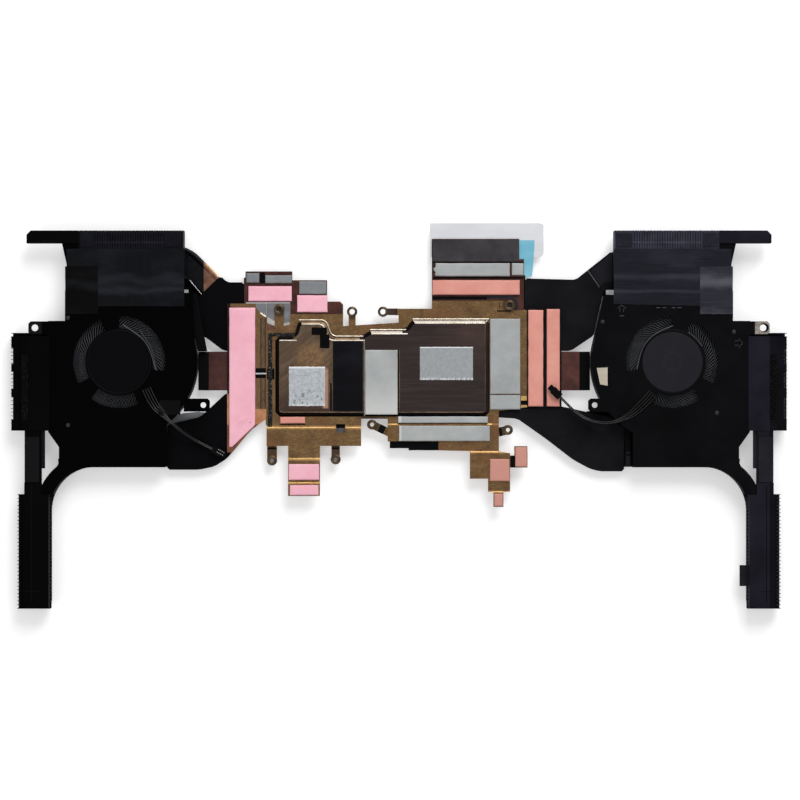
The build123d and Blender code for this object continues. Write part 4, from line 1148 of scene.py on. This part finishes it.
dress(bronze, "spring_frame", "fan_bearings")
dress(maroon, "cpu_regulator_plate", "gpu_regulator_plate")
# The right mid plate is painted brighter than the left one, as painted light.
dress(dark_copper("mid_copper", (56, 36, 33), (84, 52, 48), 1.25), "mid_plates")
dress(spreader_bronze(), "left_spreader")
dress(dark_copper("winding_copper", (150, 96, 64), (196, 132, 92)), "fan_stators")
dress(chamber_copper(), "vapour_chamber")
dress(hub_film((4, 4, 8), (32, 32, 37)), "hub_labels")

# Finishes of the small fittings

# Here too the left tones of the two-tone finishes are painted shade and the right ones painted light.
cap = black_coat("cap_black", (9, 9, 12), (28, 28, 34), 0.1)
keyhole_grey = black_coat("keyhole_grey", (38, 40, 45), (38, 40, 45), 0.1)
rivet_black = moulded_black("rivet_black", (24, 24, 26), 0.4)
deep_brown = moulded_black("deep_brown", (38, 31, 27))
lip_highlight_grey = moulded_black("lip_highlight_grey", (74, 76, 80), 0.3)
faint = moulded_black("faint_mark", (64, 64, 66))
tab_brown = dark_copper("tab_brown", (60, 46, 39), (82, 64, 54))
combs = fin_black("comb_black", (36, 36, 43), (70, 70, 83))
clips = fin_black("clip_black", (21, 21, 28), (36, 36, 44))
# The bright finish and the pale and tan slopes paint highlights; the dull finish also paints the shaded front
# rim.
rim_highlight = bright_rim("bright_rim", (206, 190, 164), (244, 238, 226))
dull = bright_rim("dull_rim", (84, 70, 58), (128, 108, 86))
gold = bright_rim("gold_rim", (176, 132, 70), (236, 196, 124))
eyelet = bright_rim("eyelet_bronze", (72, 59, 48), (108, 90, 70))
lit_pale_slope = bright_rim("lit_pale_slope", (208, 194, 178), (232, 223, 211), 0.2)
lit_tan_slope = bright_rim("lit_tan_slope", (128, 102, 76), (170, 140, 106), 0.4)
grey_sheet = thin_film("grey_sheet", (92, 94, 98), (132, 134, 138))
slot_shadow_grey = thin_film("slot_shadow_grey", (66, 68, 72), (112, 114, 118))
shim_grey = thin_film("grey_shim", (78, 81, 86), (138, 141, 145))
paper = thin_film("torn_paper", (180, 170, 152), (208, 199, 182))
gasket = foam_black("speckled_gasket", (40, 40, 42), 0.75)
dusty_foam = foam_black("dusty_foam", (8, 8, 9), 0.07)


def slabs(*boxes):
    """Small flat fittings from x from, x to, y from, y to, bottom, height and, where given, edge bevel."""
    return [slab(*box) for box in boxes]


def pair(x0, x1, y0, y1, bottom, height):
    """The same small flat fitting on both wings, from distances outwards from the middle."""
    return [slab(sign * x0, sign * x1, y0, y1, bottom, height) for sign in SIDES.values()]


def upright(x, y0, y1, width, bottom, rise):
    """A strip along Y."""
    return strip([(x, y0), (x, y1)], width, bottom, bottom + rise)


# Painted highlights and shade on the rims and slopes of the plateau

SLOPE_SKIN = (0.4, 1.4)  # distances in from the foot
FRONT_RIM = np.array([(37.1, 41.0), (37.1, 1.4), (-51.4, 1.4), (-51.4, 32.0)])


def slope_skin(run):
    """A thin skin of painted light on a slope of the plateau, ruled between two lines inside its foot."""
    lines = [
        open_line(inset(PLATEAU_FOOT, d)[run], 2.2, PLATEAU_Z - PLATEAU_SLOPE + d + 0.06) for d in SLOPE_SKIN
    ]
    top = np.stack(lines)
    return closed_sheet(top, top - (0, 0, 0.2))


rear_runs = [GRAPHICS_RUN, MIDDLE_RUN, PROCESSOR_RUN]
plateau_rim = inset(PLATEAU_FOOT, PLATEAU_SLOPE)
slope_middle = inset(PLATEAU_FOOT, PLATEAU_SLOPE / 2)
# Painted highlights: bright beads along the rear edges of the plateau, at its rim and at its foot.
piece(
    "rear_rim_highlights",
    [tube(open_line(plateau_rim[run], 2.2, PLATEAU_Z - 0.05), 0.3) for run in [*rear_runs, LEFT_RUN]]
    + [tube(open_line(PLATEAU_FOOT[run] + (0, 0.25), 2.4, FRAME_TOP + 0.1), 0.3) for run in rear_runs],
    rim_highlight,
)
# Painted highlights: pale and tan skins on the rear slopes, where the light falls.
piece("lit_pale_slopes", [slope_skin(GRAPHICS_RUN), slope_skin(MIDDLE_RUN)], lit_pale_slope)
piece("lit_tan_slopes", [slope_skin(PROCESSOR_RUN)], lit_tan_slope)
# Painted shade: black tubes along the slopes that face away from the light.
shaded_slopes = [tube(open_line(slope_middle[run], 1.0, 4.7), 0.75) for run in SHADED_RUNS]
piece("shaded_slopes", shaded_slopes, moulding)
# Painted shade: the rim at the right, front and left is a dull copy of the bright rear rims.
piece("shaded_front_rim", [tube(open_line(FRONT_RIM, 1.6, PLATEAU_Z - 0.12), 0.22)], dull)

# Eyelets of the screw rings

COLLAR_RADIUS, SHADE_RADIUS = 2.05, 2.25


def collar(hole):
    """The section of a flanged eyelet with that hole radius."""
    outer = [(COLLAR_RADIUS, 0.0), (COLLAR_RADIUS, 0.1), (1.9, 0.22)]
    inner = [(hole + 0.15, 0.22), (hole, 0.1)]
    return np.array([(hole, 0.0), *outer, *inner]) + (0, FRAME_TOP)


def shade():
    """The section of the dark ring round an eyelet: a low rectangle."""
    foot = [(COLLAR_RADIUS, 0.0), (SHADE_RADIUS, 0.0), (SHADE_RADIUS, 0.06), (COLLAR_RADIUS, 0.06)]
    return np.array(foot) + (0, FRAME_TOP)


eyelet_seat = [(1.4, 3.83), (1.4, 3.95)]
eyelet_post = [(1.0, FRAME_Z), (1.0, FRAME_TOP - 0.1), (0.8, FRAME_TOP)]
collars = [turned_ring(collar(hole), ring) for ring, hole in RING_HOLES.items()]
piece("eyelet_collars", collars, eyelet)
piece("eyelet_shades", [turned_ring(shade(), ring) for ring in REAR_RINGS], deep_brown)
piece("eyelet_seats", [revolved(eyelet_seat, ring) for ring in SEATED_RINGS], deep_brown)
piece("eyelet_posts", [revolved(eyelet_post, ring) for ring in POSTED_RINGS], grey_sheet)

# Gasket of the left spreader, and the painted highlights and shadows of its folds

FOLD_RUNS = [(2.9, 15.9), (20.6, 42.0)]
FOLD_BOTTOM = SPREADER_TOP - 0.02

foam(
    "edge_gasket",
    [(-56.4, -54.6, -4.8, 34.9, FRAME_TOP, 4.75), (-56.4, -45.4, 34.2, 35.6, FRAME_TOP, 4.75)],
    gasket, 111,
)
# Painted highlights: raised polished strips along the bends of the spreader.
piece(
    "spreader_fold_highlights",
    [upright(x, *run, 0.45, FOLD_BOTTOM, 0.18) for x in (-59.0, -58.1) for run in FOLD_RUNS],
    dull,
)
piece(
    "fold_shadows",
    [upright(x, *run, 0.35, FOLD_BOTTOM, 0.07) for x in (-59.5, -57.6) for run in FOLD_RUNS],
    deep_brown,
)

# Liners that close the gaps between plates, and the painted shadow in the frame's slot

piece(
    "frame_liner",
    slabs((-57.4, -56.8, -4.2, 42.4, 3.9, 0.62), (-27.2, -23.1, -3.6, -3.5, 3.85, 0.2)),
    bronze,
)
piece(
    "joint_liners",
    slabs(
        (53.5, 54.5, 45.6, 60.4, 2.9, 0.29),
        (55.0, 55.6, 3.6, 46.4, 3.3, 0.45),
        (42.9, 54.0, 1.4, 3.3, 3.0, 0.19),
        # Painted shadow: the dark part of the slot in the frame.
        (-27.4, -22.9, -5.4, -3.4, 2.9, 0.2),
    ),
    moulding,
)
piece("plate_liner", slabs((-66.9, -66.0, 42.6, 59.4, 3.25, 0.5)), maroon)
# Painted shadow: a grey sheet in the slot of the frame stands for the shaded floor below it.
piece("slot_shadow_sheet", slabs((-27.4, -22.9, -7.8, -5.4, 2.9, 0.2)), slot_shadow_grey)

# Pin and shim of the left spreader

SHIM = [(-57.0, 48.3), (-47.0, 48.3), (-47.0, 39.9), (-50.5, 39.9), (-54.0, 40.9), (-57.0, 42.3)]
SHIM_REAR = [(-61.7, 48.1), (-57.3, 48.1), (-57.3, 42.5), (-59.8, 44.3), (-61.7, 46.6)]
SHIM_Z = SOLDER_Z + 0.1

piece(
    "pin_seat",
    slabs((-61.8, -57.3, 16.1, 20.4, SPREADER_TOP, 0.12), (-56.9, -53.6, 15.6, 20.2, FRAME_TOP, 0.12)),
    moulding,
)
spreader_pin = tube([(x, 18.0, 5.1) for x in (-61.8, -60, -58.5, -57.1)], 0.45)
piece("spreader_pin", [spreader_pin], steel)
piece(
    "grey_shim",
    [block(SHIM, SHIM_Z, FRAME_Z, 0.05), block(SHIM_REAR, SPREADER_TOP, SPREADER_TOP + 0.08, 0.02)],
    shim_grey,
)
# The bright strips along the shim's edges are painted highlights.
piece(
    "shim_edge",
    [
        strip([(-59.8, 44.2), (-58.4, 43.2), (-57.3, 42.5)], 0.5, SPREADER_TOP, SPREADER_TOP + 0.2),
        strip([(-57.0, 42.2), (-55.5, 41.5), (-54.0, 40.8)], 0.5, SHIM_Z, FRAME_Z + 0.1),
        strip([(-49.3, 39.9), (-47.2, 39.9)], 0.5, SHIM_Z, FRAME_Z + 0.1),
    ],
    rim_highlight,
)

# Strips, painted shadow lines and glints round the chamber

KEYHOLE_CENTRE = np.array([47.7, 47.6])
KEYHOLE_RADII = np.array([3.1, 3.3])
BENDS = [  # x from, x to, y and z of the frame's bends that catch the light
    (-57.0, -27.4, -5.2, 4.88),
    (-22.9, -16.4, -5.2, 4.88),
    (-4.8, -0.7, -3.8, 4.72),
    (38.1, 40.0, -3.8, 4.72),
    (30.9, 42.8, -15.7, 5.3),
    (40.3, 44.7, -32.9, 5.9),
    (-47.5, -34.2, -18.7, 5.6),
    (-47.5, -34.2, -28.95, 6.2),
]


def keyhole_line():
    """A straight run to the seated ring on the right, then part of an ellipse round it."""
    turn = np.radians(np.linspace(100, -60, 16))[:, None]
    arc = KEYHOLE_CENTRE + KEYHOLE_RADII * np.hstack([np.cos(turn), np.sin(turn)])
    return np.vstack([[(37.8, 50.9), (42.0, 51.0), (46.0, 51.0)], arc])


# Dark marks: strips and lines beside the keyhole, the film, the tab and the tapes, with painted shadow lines
# among them.
piece(
    "channel_and_shadow_lines",
    slabs(
        (14.3, 37.9, 50.0, 51.3, FRAME_Z, 0.08),
        (14.6, 53.6, 58.9, 59.7, FRAME_Z, 0.06),
        (14.6, 53.6, 65.7, 66.3, FRAME_Z, 0.06),
        (14.25, 14.6, 58.4, 75.9, FRAME_Z, 0.06),
        (42.2, 48.2, 44.7, 45.3, FRAME_TOP, 0.06),
        (-60.0, -57.8, 57.0, 61.6, FRAME_Z, 0.5),
        (-29.6, -28.9, 2.0, 14.0, PLATEAU_Z, 0.06),
        # Painted shadow in front of the small salmon pad.
        (-51.2, -40.4, -4.0, -3.5, FRAME_TOP, 0.06),
    )
    + [
        # Painted shadow along the right edge of the middle grey pad.
        upright(-0.35, 1.8, 28.4, 0.5, PLATEAU_Z, 0.05),
        upright(-0.95, 43.2, 46.1, 0.3, FRAME_TOP, 0.14),
        upright(43.4, 49.0, 46.0, 0.25, FRAME_TOP, 0.06),
    ],
    moulding,
)
piece("keyhole_strip", [strip(keyhole_line(), 1.25, FRAME_Z, FRAME_Z + 0.08)], keyhole_grey)
piece("tab_coat", slabs((-5.9, -0.85, 43.3, 46.1, FRAME_TOP - 0.02, 0.1)), tab_brown)
# Painted shadows: dark bands where the frame's tabs step down.
piece(
    "tab_step_shadows",
    slabs(
        (47.9, 50.0, -22.3, -17.3, 5.55, 0.2),
        (-56.8, -52.6, -14.6, -13.9, FRAME_TOP, 0.1),
        (-29.1, -25.5, -14.6, -13.9, FRAME_TOP, 0.1),
    )
    + [
        strip([(-8.6, -5.3), (-6.2, -6.5)], 3.5, 4.3, 4.5),
        strip([(43.1, -7.1), (44.3, -6.85)], 3.9, 4.3, 4.5),
    ],
    moulding,
)
piece(
    "chamber_lines",
    [
        upright(-29.2, 14.0, 31.9, 0.4, PLATEAU_Z, 0.12),
        upright(-15.3, 3.0, 32.0, 0.3, PLATEAU_Z, 0.12),
        upright(0.2, 1.8, 28.4, 0.4, PLATEAU_Z, 0.12),
    ],
    dull,
)
piece("pad_glint", [upright(-14.9, -0.3, 31.8, 0.22, PLATEAU_Z, 0.16)], rim_highlight)
piece("bend_glints", [tube([(x0, y, z), (x1, y, z)], 0.24, 8) for x0, x1, y, z in BENDS], gold)
piece(
    "gold_hook",
    slabs((52.5, 55.1, 6.4, 8.5, FRAME_Z, 0.5), (52.5, 55.2, 3.5, 4.5, FRAME_Z, 0.45)),
    gold,
)

# Fittings on the fans

BOSS = np.array([(13.0, 0.0), (13.9, 0.0), (13.9, 0.1), (13.7, 0.22), (13.2, 0.22), (13.0, 0.1)])
# Painted highlights along the lips of the inlet openings, on the arcs where the light catches them.
LIP_HIGHLIGHTS = [  # side, angles from and to in degrees, radius, flare and thickness
    ("left", 84, -12, 14.1, 2.0, 0.15),
    ("right", 89, 192, 14.0, 1.6, 0.15),
    ("left", 58, -13, 15.0, 1.6, 0.09),
    ("right", 62, 28, 14.2, 0.3, 0.09),
]
LIP_POINTS = 40
RIVET = np.array([(0.85, 0.0), (0.85, 0.08), (0.7, 0.18), (0.4, 0.2), (0.15, 0.2)])
RIVETS = [(-141.9, 41.9), (-141.9, -4.1), (143.6, 35.9), (136.3, 1.1), (87.3, 40.2)]
ARROW = np.array([(-0.8, -1.4), (-0.8, 0.1), (-1.8, 0.1), (0.0, 1.6), (1.8, 0.1), (0.8, 0.1), (0.8, -1.4)])
DASHES = [110.3, 112.9, 116.9, 119.4]
CLIPS = [(-136.6, -130.4), (-100.3, -94.1), (93.3, 99.8), (130.1, 137.0)]
COMB_STARTS = [-130.1, 100.1]
COMB_PITCH, COMB_TEETH = 0.55, 54
FOIL_Z = FAN_TOP + 0.02
PAPER_X = (84.8, 89.4)
PAPER_THICKNESS = 0.06


def inlet_lip_highlight(side, start, end, radius, flare):
    """A painted highlight on the lip of an inlet opening: an arc about the motor that flares out at its ends.

    The flare grows as the fourth power of the distance from the middle of the arc.
    """
    share = np.linspace(-1, 1, LIP_POINTS)
    turn = np.radians(start + (end - start) * (share + 1) / 2)
    reach = radius + flare * share**4
    x, y = HUBS[side]
    level = np.full(LIP_POINTS, FAN_TOP + 0.05)
    return np.column_stack([x + reach * np.cos(turn), y + reach * np.sin(turn), level])


def arrow_line(outline):
    """A thin raised line along an outline on the plate."""
    return tube(np.column_stack([outline, np.full(len(outline), FAN_TOP + 0.04)]), 0.1, 6)


def torn_paper(finish):
    """A scrap of paper on the right fan: its left end is torn at a slant, and its edges are uneven."""
    start, end = PAPER_X
    shell = cut_sheet(
        np.linspace(start, end, 40),
        lambda x: np.interp(x, [start, 86.2, end], [20.2, 13.4, 12.8]) + 0.1 * waves(x, x * 0, 1.5, 121),
        lambda x: 20.4 + 0.05 * (x - start) + 0.08 * waves(x, x * 0, 2, 122),
        lambda x, y: FAN_TOP + 0.02 * (1 + waves(x, y, 3, 123)),
        PAPER_THICKNESS,
        24,
    )
    piece("torn_paper", [shell], finish)


def lead_tape(finish):
    """The black tape that holds the left lead down: flat, with a bell-shaped hump over the wires."""
    shell = cut_sheet(
        np.linspace(-102.8, -93.7, 30),
        lambda x: 0.3 + 0.2 * waves(x, x * 0, 4, 124),
        lambda x: np.full_like(x, 6.6),
        lambda x, y: FAN_TOP + 0.02 + 1.3 * np.exp(-(((x + 102.2 + (y - 1.2) * 0.8) / 1.8) ** 2)),
        FLAT_TAPE,
        30,
    )
    piece("lead_tape", [shell], finish)


bosses = [turned_ring(BOSS + (0, FAN_TOP), hub, 96) for hub in HUBS.values()]
piece("boss_rings", bosses, moulding)
lip_highlights = [tube(inlet_lip_highlight(*lip), thickness, 8) for *lip, thickness in LIP_HIGHLIGHTS]
piece("inlet_lip_highlights", lip_highlights, lip_highlight_grey)
piece("plate_rivets", [revolved(RIVET + (0, FAN_TOP), place) for place in RIVETS], rivet_black)
piece(
    "plate_arrows",
    [arrow_line(ARROW + (95.5, 45.8)), arrow_line(ARROW[:, ::-1] * 1.15 + (145.5, 31.1))]
    + slabs((94.6, 96.5, 42.6, 42.9, FAN_TOP, 0.06))
    + slabs(*((x, x + 1.7, 46.1, 46.4, FAN_TOP, 0.06) for x in DASHES)),
    faint,
)
clip_boxes = [(x0, x1, 72.3, 78.0, FIN_TOP, 0.28, 0.12) for x0, x1 in CLIPS]
piece("fin_clips", slabs(*clip_boxes), clips)
teeth = [start + COMB_PITCH * number for start in COMB_STARTS for number in range(COMB_TEETH)]
piece("fin_combs", slabs(*((x, x + 0.3, 73.7, 74.6, FIN_TOP, 0.2, 0.04) for x in teeth)), combs)
piece(
    "foil_tabs",
    slabs((-93.5, -90.2, 52.6, 54.0, FOIL_Z, 0.16), (88.7, 92.3, 51.8, 53.8, FOIL_Z, 0.16)),
    steel,
)
torn_paper(paper)
lead_tape(moulding)

# Fittings on the legs and side fins

LINE_Z = SHROUD_TOP - 0.02
FOAM_MIDDLE, FOAM_HALF = 160.4, 1.4
NECK_CORNER = [(146.2, -18.5), (146.0, -20.5), (146.6, -21.6), (144.5, -22.5), (143.5, -21.0), (143.5, -18.5)]

piece(
    "bar_caps",
    pair(154.2, 160.4, -28.6, -9.2, FAN_TOP, 0.25)
    + pair(151.9, 153.6, -22.7, -6.2, 7.6, 0.5)
    + slabs((146.4, 150.2, -73.3, -64.3, 6.0, 0.6)),
    cap,
)
piece(
    "leg_lines",
    [upright(sign * 157.5, -80.5, -30.0, 0.35, LINE_Z, 0.07) for sign in SIDES.values()]
    + [
        strip([(sign * 154.8, -75.4), (sign * 160.0, -75.4)], 0.3, LINE_Z, LINE_Z + 0.07)
        for sign in SIDES.values()
    ],
    moulding,
)
piece(
    "cage_sheets",
    slabs((-165.8, -163.5, -5.0, 33.5, 0.6, 0.4), (166.0, 166.5, -4.5, 33.0, 5.9, 0.9))
    + pair(161.5, 163.7, -82.5, -34.4, 2.8, 0.4),
    moulding,
)
neck_corners = [block(np.array(NECK_CORNER) * (sign, 1), 8.3, FAN_TOP - 0.05) for sign in SIDES.values()]
piece("neck_corners", neck_corners, plate)
shroud_boxes = [
    (sign * FOAM_MIDDLE - FOAM_HALF, sign * FOAM_MIDDLE + FOAM_HALF, -2.8, 26.3, SHROUD_TOP, 9.75)
    for sign in SIDES.values()
]
foam("shroud_foam", shroud_boxes, dusty_foam, 131)

# Fittings on the arms, pipes and plugs

FLANGE = [(-101.0, -8.0), (-84.0, -8.0), (-82.8, 1.2), (-86.8, 1.6), (-93.0, 1.0), (-100.0, -1.5)]
UNDER_SHEETS = [
    [(-93.6, 60.6), (-91.4, 60.6), (-83.4, 53.0), (-87.6, 48.8), (-93.6, 48.8)],
    [(87.4, 61.0), (92.9, 61.0), (92.9, 51.4), (88.0, 51.4), (86.0, 55.0)],
    [
        (81.0, 1.8), (92.0, 2.6), (99.0, -3.5), (101.0, -3.5),
        (101.0, -22.0), (96.0, -22.0), (96.0, -7.0), (81.0, -0.5),
    ],
    [(-102.2, -22.0), (-99.4, -22.0), (-99.4, -2.0), (-102.2, -2.0)],
]
WALL_FOAM = [(-90.6, 52.6), (-87.1, 52.6), (-84.7, 38.2), (-82.6, 27.6), (-86.4, 27.6), (-88.9, 38.2)]
ARM_WRAP = [(82.6, 62.6), (86.8, 66.0), (92.0, 70.4), (92.0, 57.4), (89.2, 57.6), (86.7, 55.6)]
WRAP_Z = SOLDER_Z + 0.2
PLUG_START = np.array([-77.9, -15.3])
PLUG_AHEAD, PLUG_ACROSS = np.array([0.87, -0.49]), np.array([0.49, 0.87])
CONTACT_PITCH, CONTACT_ROWS, CONTACT_HALF = 0.85, (-0.55, 0.75), 0.2
SHOULDER = np.array([(-92.7, 71.6), (-88.7, 69.6), (-83.9, 64.8), (-78.4, 59.1)])

foam("front_foam", [(97.2, 100.0, -21.5, -3.5, SOLDER_Z, 5.5)], open_foam, 133)
# Painted highlights: grey slabs on the front foam where it catches the light.
piece(
    "foam_glints",
    slabs((97.6, 99.6, -21.4, -17.3, 5.45, 0.15), (97.6, 99.6, -16.5, -15.6, 5.45, 0.15)),
    cap,
)
piece("arm_flange", [block(FLANGE, 1.6, 1.9)], grey_sheet)
piece("under_sheets", [block(outline, 0.9, 1.2) for outline in UNDER_SHEETS], plate)
piece("wall_foam", [block(WALL_FOAM, WRAP_Z, 6.4, 0.3)], open_foam)
piece("arm_wrap", [block(ARM_WRAP, WRAP_Z, FRAME_Z + 0.06)], cap)
contacts = [
    PLUG_START + CONTACT_PITCH * number * PLUG_AHEAD + row * PLUG_ACROSS
    for number in range(4)
    for row in CONTACT_ROWS
]
piece(
    "plug_contacts",
    slabs(*(
        (x - CONTACT_HALF, x + CONTACT_HALF, y - CONTACT_HALF, y + CONTACT_HALF, 5.78, 0.12, 0.03)
        for x, y in contacts
    )),
    steel,
)
arm_seam = strip([(81.3, 62.6), (84.0, 58.8), (86.4, 55.3)], 0.4, FRAME_Z, FRAME_Z + 0.1)
piece("arm_seam", [arm_seam], faint)
pipe_edge = tube([(-90.3, 58.3, 3.25), (-87.7, 55.2, 3.25), (-85.1, 52.2, 3.25)], 0.25)
piece("pipe_edge", [pipe_edge], steel)
piece("pipe_shoulder", [tube(open_line(SHOULDER, 2.5, 2.1), 1.1, 16)], wrapped)
pipe_glint = tube([(-83.3, 65.3, 2.88), (-80.6, 62.5, 2.88), (-77.9, 59.7, 2.88)], 0.22)
piece("pipe_glint", [pipe_glint], gold)

# Floor, light and camera


def floor():
    """A large level sheet, white by a slight glow where it is seen, except under the fans."""
    side = np.linspace(-FLOOR_HALF, FLOOR_HALF, FLOOR_POINTS)
    x, y = np.meshgrid(side, side)
    points = np.stack([x, y, np.full_like(x, -FLOOR_DEPTH)], -1).reshape(-1, 3) * MM
    mesh = bpy.data.meshes.new("floor")
    mesh.from_pydata(points.tolist(), [], quads(FLOOR_POINTS, FLOOR_POINTS).tolist())
    sheet = Finish("floor_paper", specular=0.1)
    cloud = sheet.noise(120)
    path = sheet.nodes.new("ShaderNodeLightPath").outputs
    seen = sheet.maths("MAXIMUM", path["Is Camera Ray"], path["Is Glossy Ray"])
    seen = sheet.maths("MAXIMUM", seen, path["Is Transmission Ray"])
    beside = [sheet.between(sheet.distance(hub), *FLOOR_SHADED) for hub in HUBS.values()]
    sheet.shader.inputs["Emission Color"].default_value = (1, 1, 1, 1)
    sheet.feed(sheet.shader.inputs["Emission Strength"], sheet.times(seen, *beside, FLOOR_GLOW))
    colour = sheet.span(cloud, (238, 238, 238), (242, 242, 242))
    mesh.materials.append(sheet.finish(colour, sheet.span(cloud, 0.8, 0.9)))
    made = bpy.data.objects.new("floor", mesh)
    bpy.context.scene.collection.objects.link(made)


def lamp(name, place, size, power):
    """A soft square lamp aimed at the middle of the module."""
    data = bpy.data.lights.new(name, "AREA")
    data.shape = "SQUARE"
    data.size = size
    data.energy = power
    made = bpy.data.objects.new(name, data)
    made.location = place
    made.rotation_euler = (-made.location).to_track_quat("-Z", "Y").to_euler()
    bpy.context.scene.collection.objects.link(made)


def light_and_camera():
    """Even grey light all round, two soft lamps and the photo's view."""
    world = bpy.data.worlds.new("studio")
    world.use_nodes = True
    world.node_tree.nodes["Background"].inputs["Color"].default_value = ROOM_GREY
    bpy.context.scene.world = world
    for name, (place, size, power) in LAMPS.items():
        lamp(name, place, size, power)
    camera = bpy.data.objects.new("camera", bpy.data.cameras.new("camera"))
    camera.data.lens = LENS
    camera.data.sensor_width = SENSOR
    distance = VIEW_WIDTH * LENS / SENSOR
    camera.location = (VIEW_CENTRE[0] * MM, VIEW_CENTRE[1] * MM, (VIEW_LEVEL + distance) * MM)
    bpy.context.scene.collection.objects.link(camera)
    bpy.context.scene.camera = camera
    bpy.context.scene.view_settings.view_transform = "Standard"


floor()
light_and_camera()
